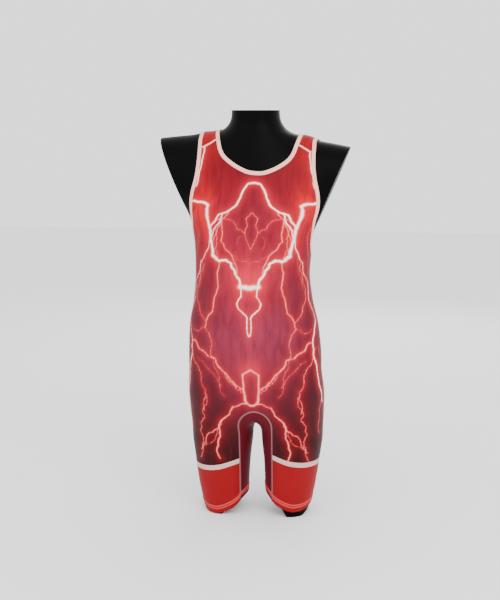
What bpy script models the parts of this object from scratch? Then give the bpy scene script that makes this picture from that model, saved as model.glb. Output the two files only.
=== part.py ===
"""Wrestling singlet, stretched on a black limbless dress form.

Every cloth piece is a closed wall that follows one smooth body surface. The surface is worked out from
the section tables below (torso, thighs, neck, shoulder beam), so neighbouring pieces share their seam
points and stay SEAM_GAP apart. "left" and "right" are the viewer's, facing the front (-Y).
Metres, +Z up, the form stands on z = 0.
"""
import bpy
import bmesh
import numpy as np
from mathutils import Matrix, Vector

# ---------------------------------------------------------------- driving sizes
WALL = 0.0015            # knitted cloth
CLEAR = 0.0008           # body surface to the inside of the cloth
FORM_INSET = 0.0028      # body surface to the form, so the cloth stays clear of it
CROTCH_INSET = 0.004     # more of it between the thighs
SEAM_GAP = 0.0003        # between sewn pieces
BIND_WIDTH = 0.009       # folded elastic binding round neck and armholes
BIND_WALL = 0.0022
STRIPE_WIDTH = 0.012     # pale band above each leg band
FLOOR = -0.009           # height of the standing surface in the table frame
NECK_TOP = 0.924         # flat top of the neck stump
SHOULDER_TILT = -0.045   # the viewer's left shoulder is a little higher
LEG_MID = 0.0055         # x of the middle between the thighs
LEG_SHIFT = {-1: -0.006, 1: 0.006}    # hems: the left leg hangs a little lower
BAND_SHIFT = {-1: -0.008, 1: 0.008}   # pale bands, the same way
ARCH_HALF = 0.0395       # half width of the inner-leg piece seen from the front
ARCH_TOP = 0.2485        # height of its seam over the crotch
LEG_MID_SEAM = 0.0090    # x of its middle, a little to the viewer's right
SIDE_SEAM = -10.0        # degrees behind the side
PIVOT_Z = 0.700          # above this the rows fan over the shoulder about a line along X
PIVOT_Y = 0.010
FAN_RADIUS = 0.13        # length of row measure for one radian of fan
FAN_X = 0.030            # columns fan from this far each side of the middle
LEG_BLEND = (0.235, 0.36)  # rows between the thigh and the torso column origins
ARM_CUT = ((0.220, 0.862), (0.148, 0.690))   # slanted end of each shoulder stump, |x| and z
ARM_CUT_SHIFT = -0.003
NAME = "wrestling_singlet_on_form"

# ---------------------------------------------------------------- section tables
# z, half width, front depth, back depth, corner power, centre x, centre y
TORSO = [
    (0.200, 0.1300, 0.070, 0.095, 2.20, 0.001, 0.004),
    (0.235, 0.1370, 0.078, 0.108, 2.20, 0.000, 0.004),
    (0.290, 0.1475, 0.090, 0.120, 2.25, -0.001, 0.004),
    (0.350, 0.1525, 0.094, 0.114, 2.30, -0.001, 0.004),
    (0.430, 0.1480, 0.093, 0.096, 2.30, -0.003, 0.002),
    (0.500, 0.1345, 0.091, 0.086, 2.30, -0.005, 0.000),
    (0.560, 0.1290, 0.092, 0.086, 2.30, -0.006, 0.000),
    (0.620, 0.1320, 0.098, 0.096, 2.35, -0.004, 0.002),
    (0.680, 0.1430, 0.103, 0.108, 2.40, -0.003, 0.004),
    (0.740, 0.1470, 0.096, 0.112, 2.40, -0.002, 0.008),
    (0.800, 0.1400, 0.078, 0.100, 2.30, -0.003, 0.014),
    (0.850, 0.1100, 0.052, 0.075, 2.10, -0.002, 0.020),
]
# z, half width, front depth, back depth, centre from LEG_MID, centre y
LEG = [
    (-0.080, 0.0410, 0.0455, 0.0490, 0.0680, -0.008),
    (0.000, 0.0495, 0.054, 0.058, 0.0735, -0.006),
    (0.060, 0.0570, 0.061, 0.066, 0.0790, -0.004),
    (0.120, 0.0630, 0.070, 0.078, 0.0815, 0.000),
    (0.180, 0.0690, 0.078, 0.092, 0.0820, 0.002),
    (0.230, 0.0690, 0.082, 0.102, 0.0795, 0.004),
    (0.280, 0.0680, 0.082, 0.108, 0.0770, 0.004),
]
# z, half width, front depth, back depth, centre x, centre y
NECK = [
    (0.780, 0.0900, 0.085, 0.075, -0.002, 0.022),
    (0.840, 0.0760, 0.074, 0.064, -0.001, 0.018),
    (0.880, 0.0600, 0.063, 0.058, 0.000, 0.012),
    (0.915, 0.0545, 0.058, 0.056, 0.000, 0.006),
    (0.960, 0.0535, 0.057, 0.056, 0.001, 0.000),
]
# |x|, centre z, half height, half depth, centre y
ARM = [
    (0.000, 0.775, 0.088, 0.080, 0.014),
    (0.090, 0.778, 0.090, 0.076, 0.018),
    (0.150, 0.776, 0.086, 0.070, 0.020),
    (0.240, 0.771, 0.078, 0.062, 0.020),
]
# row height, x of the garment's middle
MIDDLE = [(0.00, 0.0055), (0.24, 0.0090), (0.37, 0.0010), (0.51, 0.0020), (0.62, 0.0050),
          (0.70, 0.0060), (0.76, 0.0090), (0.80, 0.0115), (0.84, 0.0110), (0.96, 0.0110)]
# degrees round the thigh (0 outside, 90 front, 180 inside, -90 back), height of the hem
HEM = [(-180, 0.0380), (-168, 0.0370), (-140, 0.0280), (-110, 0.0160), (-90, 0.0120), (-60, 0.0080),
       (-30, 0.0070), (0, 0.0080), (20, 0.0075), (40, 0.0030), (58, -0.0005), (73, -0.0010),
       (90, 0.0030), (106, 0.0097), (123, 0.0185), (137, 0.0290), (160, 0.0360), (180, 0.0380)]
# degrees round the thigh, height of the pale band's upper edge
BAND = [(-140, 0.1340), (-90, 0.1240), (-45, 0.1180), (0, 0.1165), (41, 0.1180), (60, 0.1190),
        (77, 0.1213), (93, 0.1248), (107, 0.1300), (125, 0.1350), (140, 0.1370)]
# centre line of the bindings: column angle, row height (front rows, then back rows)
NECK_FRONT = [(99.5, 0.7993), (97.6, 0.7999), (88.0, 0.8076), (78.0, 0.8223), (72.0, 0.8390),
              (70.5, 0.8540), (70.3, 0.8675)]
NECK_BACK = [(-101.0, 0.8080), (-97.0, 0.8086), (-88.0, 0.8150), (-79.0, 0.8290), (-73.0, 0.8500),
             (-70.4, 0.8750), (-69.9, 0.9080), (-70.3, 0.9409)]
ARM_FRONT = [(-10.0, 0.6000), (8.0, 0.6060), (18.0, 0.6250), (24.0, 0.6600), (26.5, 0.6840),
             (26.8, 0.7000), (29.8, 0.7400), (36.0, 0.7750), (45.9, 0.8120), (52.3, 0.8380),
             (56.2, 0.8595)]
ARM_BACK = [(-10.0, 0.6000), (-22.0, 0.6080), (-29.0, 0.6350), (-33.0, 0.6700), (-36.0, 0.7050),
            (-41.0, 0.7500), (-47.0, 0.7900), (-53.0, 0.8300), (-58.0, 0.8700), (-59.6, 0.9100),
            (-56.2, 0.9489)]

# rows and columns of the walls
COLS_PANEL = 9
COLS_GUSSET = 8
ROWS_CUFF = 4
ROWS_LEG = 3
ROWS_ARCH = 5
ROWS_SIDE = 11
ROWS_CHEST = 7
ROWS_STRAP = 7

# piece, colour, roughness
FINISH = {
    "dress_form": ((0.006, 0.006, 0.007), 0.42),
    "front_panel": ((0.42, 0.045, 0.062), 0.55),
    "back_panel": ((0.42, 0.045, 0.062), 0.55),
    "gusset": ((0.235, 0.016, 0.028), 0.60),
    "cuff_left": ((0.55, 0.018, 0.024), 0.55),
    "cuff_right": ((0.55, 0.018, 0.024), 0.55),
    "stripe_left": ((0.78, 0.74, 0.73), 0.60),
    "stripe_right": ((0.78, 0.74, 0.73), 0.60),
    "neck_binding": ((0.80, 0.62, 0.58), 0.60),
    "armhole_binding_left": ((0.80, 0.62, 0.58), 0.60),
    "armhole_binding_right": ((0.80, 0.62, 0.58), 0.60),
}


# ---------------------------------------------------------------- smooth tables
def slopes(xs, ys):
    """Slopes of the monotone cubic through (xs, ys)."""
    h, d = np.diff(xs), np.diff(ys) / np.diff(xs)
    m = np.zeros(len(xs))
    m[0], m[-1] = d[0], d[-1]
    for i in range(1, len(xs) - 1):
        if d[i - 1] * d[i] > 0:
            w1, w2 = 2 * h[i] + h[i - 1], h[i] + 2 * h[i - 1]
            m[i] = (w1 + w2) / (w1 / d[i - 1] + w2 / d[i])
    return m


def read_cubic(xs, ys, m, x):
    x = np.clip(x, xs[0], xs[-1])
    i = np.clip(np.searchsorted(xs, x, side="right") - 1, 0, len(xs) - 2)
    h = xs[i + 1] - xs[i]
    t = (x - xs[i]) / h
    u = t * t
    v = u * t
    return ((2 * v - 3 * u + 1) * ys[i] + (v - 2 * u + t) * h * m[i]
            + (3 * u - 2 * v) * ys[i + 1] + (v - u) * h * m[i + 1])


def smooth(xs, ys, x):
    """Monotone cubic through (xs, ys), read at x."""
    xs, ys = np.asarray(xs, float), np.asarray(ys, float)
    return read_cubic(xs, ys, slopes(xs, ys), x)


CUBICS = {}


def column(rows, k, x):
    """Column k of a table, read smoothly at x of column 0."""
    key = (id(rows), k)
    if key not in CUBICS:
        xs, ys = np.array([r[0] for r in rows]), np.array([r[k] for r in rows])
        CUBICS[key] = (xs, ys, slopes(xs, ys))
    return read_cubic(*CUBICS[key], x)


# ---------------------------------------------------------------- the body surface
def ring(dx, dy, a, b, n):
    q = ((np.abs(dx) / a) ** n + (np.abs(dy) / b) ** n) ** (1 / n)
    return np.sqrt(dx * dx + dy * dy) * (1 - 1 / np.maximum(q, 1e-6))


def join(a, b, k):
    h = np.clip(0.5 + 0.5 * (b - a) / k, 0, 1)
    return b * (1 - h) + a * h - k * h * (1 - h)


def trim(a, b, k):
    return -join(-a, -b, k)


def torso(x, y, z):
    zz = np.clip(z, TORSO[0][0], TORSO[-1][0])
    dx, dy = x - column(TORSO, 5, zz), y - column(TORSO, 6, zz)
    depth = np.where(dy < 0, column(TORSO, 2, zz), column(TORSO, 3, zz))
    d = ring(dx, dy, column(TORSO, 1, zz), depth, column(TORSO, 4, zz))
    return trim(trim(d, 0.220 - z, 0.035), z - 0.850, 0.03)


def thigh(x, y, z, side):
    zz = np.clip(z, LEG[0][0], LEG[-1][0])
    dx, dy = x - (LEG_MID + side * column(LEG, 4, zz)), y - column(LEG, 5, zz)
    depth = np.where(dy < 0, column(LEG, 2, zz), column(LEG, 3, zz))
    return trim(ring(dx, dy, column(LEG, 1, zz), depth, 2.15), z - 0.30, 0.05)


def neck(x, y, z):
    zz = np.clip(z, NECK[0][0], NECK[-1][0])
    dx, dy = x - column(NECK, 4, zz), y - column(NECK, 5, zz)
    depth = np.where(dy < 0, column(NECK, 2, zz), column(NECK, 3, zz))
    return trim(ring(dx, dy, column(NECK, 1, zz), depth, 2.1), 0.80 - z, 0.03)


def shoulders(x, y, z):
    ax = np.clip(np.abs(x), 0, 0.24)
    dz, dy = z - (column(ARM, 1, ax) + SHOULDER_TILT * x), y - column(ARM, 4, ax)
    return ring(dz, dy, column(ARM, 2, ax), column(ARM, 3, ax), 2.25)


def body(p):
    """Signed distance, nearly, to the smooth body surface."""
    x, y, z = p[..., 0], p[..., 1], p[..., 2]
    d = join(torso(x, y, z), shoulders(x, y, z), 0.045)
    d = join(d, neck(x, y, z), 0.045)
    return join(d, join(thigh(x, y, z, -1), thigh(x, y, z, 1), 0.012), 0.045)


def slope(p, e=4e-4):
    return np.stack([body(p + np.eye(3)[k] * e) - body(p - np.eye(3)[k] * e) for k in range(3)], -1) / (2 * e)


def normal(p):
    g = slope(p)
    return g / np.maximum(np.linalg.norm(g, axis=-1, keepdims=True), 1e-9)


def settle(p, level=0.0, steps=4):
    """Move points square to the surface until they are at the level."""
    for _ in range(steps):
        g = slope(p)
        p = p - g * ((body(p) - level) / np.maximum((g * g).sum(-1), 0.05))[..., None]
    return p


def cast(start, way, reach, outward=True, steps=36):
    """First point along each ray where it leaves (or enters) the body."""
    start = np.broadcast_to(start, way.shape)
    sign = 1.0 if outward else -1.0
    found = np.zeros(way.shape[:-1], bool)
    low = np.zeros(way.shape[:-1])
    high = np.full(way.shape[:-1], reach)
    ts = np.linspace(0, reach, steps + 1)
    for i in range(1, steps + 1):
        new = (sign * body(start + way * ts[i]) > 0) & ~found
        low, high = np.where(new, ts[i - 1], low), np.where(new, ts[i], high)
        found |= new
    for _ in range(16):
        mid = (low + high) / 2
        past = sign * body(start + way * mid[..., None]) > 0
        low, high = np.where(past, low, mid), np.where(past, mid, high)
    return start + way * ((low + high) / 2)[..., None]


# ---------------------------------------------------------------- columns and rows on the body
def leg_share(g):
    t = np.clip((np.asarray(g, float) - LEG_BLEND[0]) / (LEG_BLEND[1] - LEG_BLEND[0]), 0, 1)
    return 1 - t * t * (3 - 2 * t)


def row_origin(side, g):
    """Where the columns of one half fan from, on the row at height g."""
    g = np.asarray(g, float)
    w = leg_share(g)
    gl = np.clip(g, -0.02, 0.28)
    x = w * (LEG_MID + side * column(LEG, 4, gl)) + (1 - w) * (column(MIDDLE, 1, g) + side * FAN_X)
    y = w * column(LEG, 5, gl) + (1 - w) * PIVOT_Y
    return x, y


def place(side, angle, g):
    """Body surface point at a column angle (degrees, 0 outside, 90 front, -90 back) on row g."""
    angle, g = np.broadcast_arrays(np.asarray(angle, float), np.asarray(g, float))
    a = np.radians(angle)
    x, y = row_origin(side, g)
    fan = np.maximum(g - PIVOT_Z, 0) / FAN_RADIUS
    way = np.stack([side * np.cos(a), -np.sin(a) * np.cos(fan), np.abs(np.sin(a)) * np.sin(fan)], -1)
    return cast(np.stack([x, y, np.minimum(g, PIVOT_Z)], -1), way, 0.26)


def locate(side, p):
    """Column angle and row of a surface point, the inverse of place()."""
    out = []
    for q in np.atleast_2d(p):
        if q[2] <= PIVOT_Z:
            g = q[2]
            x, y = row_origin(side, g)
            out.append((np.degrees(np.arctan2(-(q[1] - y), side * (q[0] - x))), g))
        else:
            back = q[3] if len(q) > 3 else 0.0
            dy = (q[1] - PIVOT_Y) * (1 if back else -1)
            fan = np.arctan2(q[2] - PIVOT_Z, dy)
            g = PIVOT_Z + FAN_RADIUS * fan
            x, y = row_origin(side, g)
            a = np.degrees(np.arctan2(np.hypot(q[2] - PIVOT_Z, q[1] - PIVOT_Y), side * (q[0] - x)))
            out.append((-a if back else a, g))
    return np.array(out)


def angle_at_x(side, g, x, back=False):
    """Column angle whose surface point on row g has the given x."""
    g, x = np.broadcast_arrays(np.atleast_1d(np.asarray(g, float)), np.asarray(x, float))
    turn = 1.0 if back else -1.0
    fan = np.maximum(g - PIVOT_Z, 0) / FAN_RADIUS
    y = np.where(g < 0.27, turn * 0.045, PIVOT_Y)
    way = np.stack([0 * g, turn * np.cos(fan), np.sin(fan)], -1)
    p = cast(np.stack([x, y, np.minimum(g, PIVOT_Z)], -1), way, 0.26)
    tag = np.full((len(g), 1), 1.0 if back else 0.0)
    return locate(side, np.hstack([p, tag]))[:, 0]


# ---------------------------------------------------------------- seam and edge lines
def polyline(points, count):
    """Points spaced evenly along a line of points."""
    step = np.r_[0, np.cumsum(np.linalg.norm(np.diff(points, axis=0), axis=1))]
    t = np.linspace(0, step[-1], count)
    return np.stack([np.interp(t, step, points[:, k]) for k in range(3)], -1)


def edge_line(side, rows, count):
    """A smooth edge through table rows (angle, g), as evenly spaced surface points."""
    key = np.arange(len(rows), dtype=float)
    fine = np.linspace(0, key[-1], 140)
    angle = smooth(key, [r[0] for r in rows], fine)
    g = smooth(key, [r[1] for r in rows], fine)
    return polyline(place(side, angle, g), 4 * count - 3)


def beside(line, offset, flip, closed=False):
    """The line moved over the surface, square to itself."""
    if closed:
        along = np.roll(line, -1, 0) - np.roll(line, 1, 0)
    else:
        along = np.gradient(line, axis=0)
    way = np.cross(normal(line), along)
    way /= np.linalg.norm(way, axis=1, keepdims=True)
    return settle(line + way * offset * flip)


def band_height(side, angle):
    return smooth([r[0] for r in BAND], [r[1] for r in BAND], angle) + BAND_SHIFT[side]


def hem_height(side, angle):
    return smooth([r[0] for r in HEM], [r[1] for r in HEM], angle) + LEG_SHIFT[side]


def seam_angle(side, g, back, grow):
    """Column angle of the inner-leg seam on thigh rows."""
    x = LEG_MID_SEAM + side * (ARCH_HALF + grow)
    return angle_at_x(side, g, np.full(np.shape(g), x), back)


def seam_rows(side, back, grow):
    """Inner seam of a panel half from the pale band up to the crotch: (angle, g) rows."""
    rise = ARCH_TOP - ARCH_HALF
    turn = np.radians(np.linspace(0, 90, ROWS_ARCH + 1))
    r = ARCH_HALF + grow
    start_g = np.array([0.13])
    for _ in range(6):
        a = seam_angle(side, start_g, back, grow)
        start_g = np.array([band_height(side, abs(a[0]) if not back else a[0])]) + SEAM_GAP / 2
    g = np.r_[np.linspace(start_g[0], rise, ROWS_LEG + 1), rise + r * np.sin(turn[1:])]
    half = np.r_[np.full(ROWS_LEG + 1, r), r * np.cos(turn[1:])]
    angle = angle_at_x(side, g, LEG_MID_SEAM + side * half, back)
    return angle, g


# ---------------------------------------------------------------- walls
def grid_mesh(bm, points):
    """A grid of faces whose vertices are moved to the given rows x columns of points."""
    rows, cols = points.shape[:2]
    made = bmesh.ops.create_grid(bm, x_segments=cols - 1, y_segments=rows - 1, size=0.5)["verts"]
    for v in made:
        c = int(round((v.co.x + 0.5) * (cols - 1)))
        r = int(round((v.co.y + 0.5) * (rows - 1)))
        v.co = Vector(points[r, c])


def wall(name, grids, thickness=WALL, lift=CLEAR):
    """Close one or more joined grids of surface points into a wall that stands off the body."""
    bm = bmesh.new()
    for g in grids:
        grid_mesh(bm, g)
    bmesh.ops.remove_doubles(bm, verts=bm.verts[:], dist=0.00002)
    at = np.array([v.co for v in bm.verts])
    out = normal(at)
    for v, n in zip(bm.verts, out):
        v.co += Vector(n) * lift
    index = {v: i for i, v in enumerate(bm.verts)}
    order = list(bm.verts)
    made = bmesh.ops.extrude_face_region(bm, geom=bm.faces[:])["geom"]
    top = [v for v in made if isinstance(v, bmesh.types.BMVert)]
    tree = {}
    for v in order:
        if v.is_valid:
            tree[tuple(round(c, 7) for c in v.co)] = index[v]
    for v in top:
        v.co += Vector(out[tree[tuple(round(c, 7) for c in v.co)]]) * thickness
    bmesh.ops.recalc_face_normals(bm, faces=bm.faces[:])
    return finish(name, bm)


def finish(name, bm):
    for v in bm.verts:
        v.co += SHIFT
    mesh = bpy.data.meshes.new(name)
    bm.to_mesh(mesh)
    bm.free()
    return dress(bpy.data.objects.new(name, mesh))


def dress(obj):
    obj.data.shade_smooth()
    obj.data.set_sharp_from_angle(angle=np.radians(50))
    colour, rough = FINISH[obj.name]
    mat = bpy.data.materials.new(obj.name + "_finish")
    mat.use_nodes = True
    bsdf = mat.node_tree.nodes["Principled BSDF"]
    bsdf.inputs["Base Color"].default_value = (*colour, 1)
    bsdf.inputs["Roughness"].default_value = rough
    bsdf.inputs["Metallic"].default_value = 0.0
    obj.data.materials.clear()
    obj.data.materials.append(mat)
    PARTS.objects.link(obj)
    obj.parent = ROOT
    return obj


SHIFT = Vector((0.0028, -0.0131, -FLOOR))     # middle of the overall box on the Z axis
SHOULDER_ENDS = {}


def panel_half(side, back):
    """Rows x columns of one half of the front or back, and its neck and armhole edges."""
    grow = SEAM_GAP / 2
    flip = side * (-1 if back else 1)
    leg_a, leg_g = seam_rows(side, back, grow)
    # neck and armhole edges of the cloth, half a binding away from the binding's centre line
    neck_rows = NECK_BACK if back else NECK_FRONT
    arm_rows = ARM_BACK if back else ARM_FRONT
    mid_x = float(column(MIDDLE, 1, neck_rows[0][1]))
    start = float(angle_at_x(side, np.array([neck_rows[0][1]]), np.array([mid_x]), back)[0])
    rows = [(start, neck_rows[0][1])] + list(neck_rows[1:])
    off = BIND_WIDTH / 2 + SEAM_GAP / 2
    neck_line = edge_line(side, rows, ROWS_STRAP + 1)
    neck_line = beside(neck_line, off, -flip)
    neck_line = polyline(neck_line, ROWS_STRAP + 1)
    arm_line = edge_line(side, arm_rows, ROWS_CHEST + ROWS_STRAP + 1)
    arm_line = beside(arm_line, off, flip)
    arm_line = polyline(arm_line, ROWS_CHEST + ROWS_STRAP + 1)
    tag = np.full((len(neck_line), 1), 1.0 if back else 0.0)
    neck_at = locate(side, np.hstack([neck_line, tag]))
    tag = np.full((len(arm_line), 1), 1.0 if back else 0.0)
    arm_at = locate(side, np.hstack([arm_line, tag]))
    # front and back meet on the shoulder seam, half the gap each
    if back:
        over = 2 * PIVOT_Z + np.pi * FAN_RADIUS
        neck_at[-1], arm_at[-1] = [(-a, over - g - SEAM_GAP * 0.4) for a, g in SHOULDER_ENDS[side]]
    else:
        SHOULDER_ENDS[side] = (tuple(neck_at[-1]), tuple(arm_at[-1]))
        neck_at[-1, 1] -= SEAM_GAP * 0.4
        arm_at[-1, 1] -= SEAM_GAP * 0.4
    # the first points sit on the middle line and the side seam
    gap_turn = SEAM_GAP / 2 / 0.15 * 57.3 * (-1 if back else 1)
    arm_at[0, 0] = SIDE_SEAM + gap_turn
    low_g = neck_at[0, 1]
    # inner edge: seam, middle, neck; outer edge: side seam, armhole
    chest_g = np.linspace(arm_at[0, 1], low_g, ROWS_CHEST + 1)[1:]
    mid_g = np.r_[np.linspace(leg_g[-1], arm_at[0, 1], ROWS_SIDE + 1)[1:], chest_g]
    mid_a = angle_at_x(side, mid_g, column(MIDDLE, 1, mid_g), back)
    inner_a = np.r_[leg_a, mid_a, neck_at[1:, 0]]
    inner_g = np.r_[leg_g, mid_g, neck_at[1:, 1]]
    n_leg = len(leg_g)
    first = float(band_height(side, SIDE_SEAM)) + SEAM_GAP / 2
    outer_g = np.r_[np.linspace(first, ARCH_TOP + 0.012, n_leg),
                    np.linspace(ARCH_TOP + 0.012, arm_at[0, 1], ROWS_SIDE + 1)[1:], arm_at[1:, 1]]
    outer_a = np.r_[np.full(n_leg + ROWS_SIDE, SIDE_SEAM + gap_turn), arm_at[1:, 0]]
    t = np.linspace(0, 1, COLS_PANEL + 1)
    angle = inner_a[:, None] * (1 - t) + outer_a[:, None] * t
    g = inner_g[:, None] * (1 - t) + outer_g[:, None] * t
    # the lowest rows follow the pale band
    fade = np.clip(1 - np.arange(len(inner_g)) / (ROWS_LEG + 2), 0, 1)[:, None]
    bottom = band_height(side, angle[0]) + SEAM_GAP / 2
    g = g + fade * (bottom - g[0])[None, :]
    pts = place(side, angle, g)
    return pts


def build_panels():
    edges = {}
    for back in (False, True):
        halves = []
        for side in (-1, 1):
            pts = panel_half(side, back)
            halves.append(pts)
            edges[side, back] = (pts[-(ROWS_STRAP + 1):, 0], pts[-(ROWS_CHEST + ROWS_STRAP + 1):, -1])
        # weld the two halves exactly on the middle
        n = ROWS_LEG + ROWS_ARCH
        m = n + ROWS_SIDE + ROWS_CHEST
        mid = (halves[0][n:m + 1, 0] + halves[1][n:m + 1, 0]) / 2
        halves[0][n:m + 1, 0] = mid
        halves[1][n:m + 1, 0] = mid
        wall("back_panel" if back else "front_panel", halves)
    return edges


def build_binding(name, line, flip, closed=True):
    """A folded band: three lines of points beside the cloth's edge."""
    grids = [beside(line, d, flip, closed) for d in (SEAM_GAP, BIND_WIDTH / 2, BIND_WIDTH)]
    g = np.stack(grids)
    if closed:
        g = np.concatenate([g, g[:, :1]], axis=1)
    return wall(name, [g], thickness=BIND_WALL)


def build_bands():
    for side, word in ((-1, "left"), (1, "right")):
        def strip(top, bottom, rows):
            g_mid = 0.09 if rows > 1 else 0.12
            out = []
            for r in np.linspace(0, 1, rows + 1):
                # seam angles depend on the row, so the ends are found first
                g_end = np.array([g_mid, g_mid])
                for _ in range(5):
                    front = float(seam_angle(side, g_end[:1], False, SEAM_GAP / 2)[0])
                    rear = float(seam_angle(side, g_end[1:], True, SEAM_GAP / 2)[0])
                    g_end = np.array([bottom(front) * (1 - r) + top(front) * r,
                                      bottom(rear) * (1 - r) + top(rear) * r])
                a = np.r_[np.linspace(front, SIDE_SEAM, COLS_PANEL + 1),
                          np.linspace(SIDE_SEAM, rear, COLS_PANEL + 1)[1:]]
                out.append(place(side, a, bottom(a) * (1 - r) + top(a) * r))
            return np.stack(out)
        over = lambda a: band_height(side, a) - SEAM_GAP / 2
        under = lambda a: band_height(side, a) - STRIPE_WIDTH
        hem = lambda a: hem_height(side, a)
        wall("stripe_" + word, [strip(over, lambda a: under(a) + SEAM_GAP / 2, 1)])
        wall("cuff_" + word, [strip(lambda a: under(a) - SEAM_GAP / 2, hem, ROWS_CUFF)])


def gusset_stations(side, back):
    """Seam points of one leg from the hem to the top of the arch."""
    rise = ARCH_TOP - ARCH_HALF
    r = ARCH_HALF - SEAM_GAP / 2
    def end(fn, g0):
        g = np.array([g0])
        for _ in range(6):
            a = angle_at_x(side, g, np.full(1, LEG_MID_SEAM + side * r), back)
            g = np.array([fn(float(a[0]))])
        return float(g[0])
    g_hem = end(lambda a: float(hem_height(side, a)), 0.03)
    g_low = end(lambda a: float(band_height(side, a)) - STRIPE_WIDTH, 0.11)
    g_high = end(lambda a: float(band_height(side, a)), 0.13)
    g = np.r_[np.linspace(g_hem, g_low, ROWS_CUFF + 1), np.linspace(g_high, rise, ROWS_LEG + 1)]
    turn = np.zeros(len(g))
    t = np.radians(np.linspace(0, 90, ROWS_ARCH + 1))[1:]
    g = np.r_[g, rise + r * np.sin(t)]
    turn = np.r_[turn, t]
    half = np.r_[np.full(len(g) - len(t), r), r * np.cos(t)]
    a = angle_at_x(side, g, LEG_MID_SEAM + side * half, back)
    return place(side, a, g), turn, g


def build_gusset():
    rise = ARCH_TOP - ARCH_HALF
    rows = []
    for side in (-1, 1):
        front, turn, gf = gusset_stations(side, False)
        rear, _, gb = gusset_stations(side, True)
        t = (1 - np.cos(np.pi * np.linspace(0, 1, COLS_GUSSET + 1))) / 2
        t = 0.55 * t + 0.45 * np.linspace(0, 1, COLS_GUSSET + 1)
        y = front[:, 1:2] * (1 - t) + rear[:, 1:2] * t
        low = np.minimum(gf, rise)[:, None] * (1 - t) + np.minimum(gb, rise)[:, None] * t
        # the hem line of the inside follows the hem table between the two seams
        phi = np.radians(np.linspace(0, 180, COLS_GUSSET + 1))
        bulge = float(hem_height(side, 180.0)) - 0.5 * (gf[0] + gb[0])
        fade = np.clip(1 - np.arange(len(gf)) / ROWS_CUFF, 0, 1)[:, None]
        low = low + fade * bulge * np.sin(phi)[None, :] ** 0.8
        start = np.stack([np.full_like(y, LEG_MID_SEAM), y, low], -1)
        way = np.stack([side * np.cos(turn)[:, None] + 0 * y, 0 * y, np.sin(turn)[:, None] + 0 * y], -1)
        pts = cast(start, way, 0.10, outward=False)
        pts[:, 0], pts[:, -1] = front, rear
        rows.append(pts if side < 0 else pts[::-1][1:])
    wall("gusset", [np.concatenate(rows, axis=0)])


# ---------------------------------------------------------------- the dress form
def loft(bm, rings):
    """A closed tube through rings of points, capped at both ends."""
    g = np.stack([np.concatenate([r, r[:1]]) for r in rings])
    before = set(bm.verts)
    grid_mesh(bm, g)
    new = [v for v in bm.verts if v not in before]
    bmesh.ops.remove_doubles(bm, verts=new, dist=0.00002)
    new = [v for v in bm.verts if v not in before]
    edges = [e for e in bm.edges if e.is_boundary and e.verts[0] in new]
    bmesh.ops.holes_fill(bm, edges=edges, sides=0)


def oval(cx, cy, a, front, rear, power, n=28):
    t = 2 * np.pi * np.arange(n) / n
    c, s = np.cos(t), np.sin(t)
    r = (np.abs(c / a) ** power + np.abs(s / np.where(s < 0, front, rear)) ** power) ** (-1 / power)
    return cx + r * c, cy + r * s


FORM_VOXEL = 0.010
FORM_KEEP = 0.20         # share of the form's faces kept where it is nearly flat


def cutter(name, corners, depth):
    """A prism along Y from its corners in the XZ plane."""
    bm = bmesh.new()
    face = bm.faces.new([bm.verts.new((x, -depth, z)) for x, z in corners])
    made = bmesh.ops.extrude_face_region(bm, geom=[face])["geom"]
    for v in made:
        if isinstance(v, bmesh.types.BMVert):
            v.co.y = depth
    bmesh.ops.recalc_face_normals(bm, faces=bm.faces[:])
    mesh = bpy.data.meshes.new(name)
    for v in bm.verts:
        v.co += SHIFT
    bm.to_mesh(mesh)
    bm.free()
    obj = bpy.data.objects.new(name, mesh)
    obj.hide_render = True
    obj.display_type = "WIRE"
    CUTTERS.objects.link(obj)
    return obj


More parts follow.
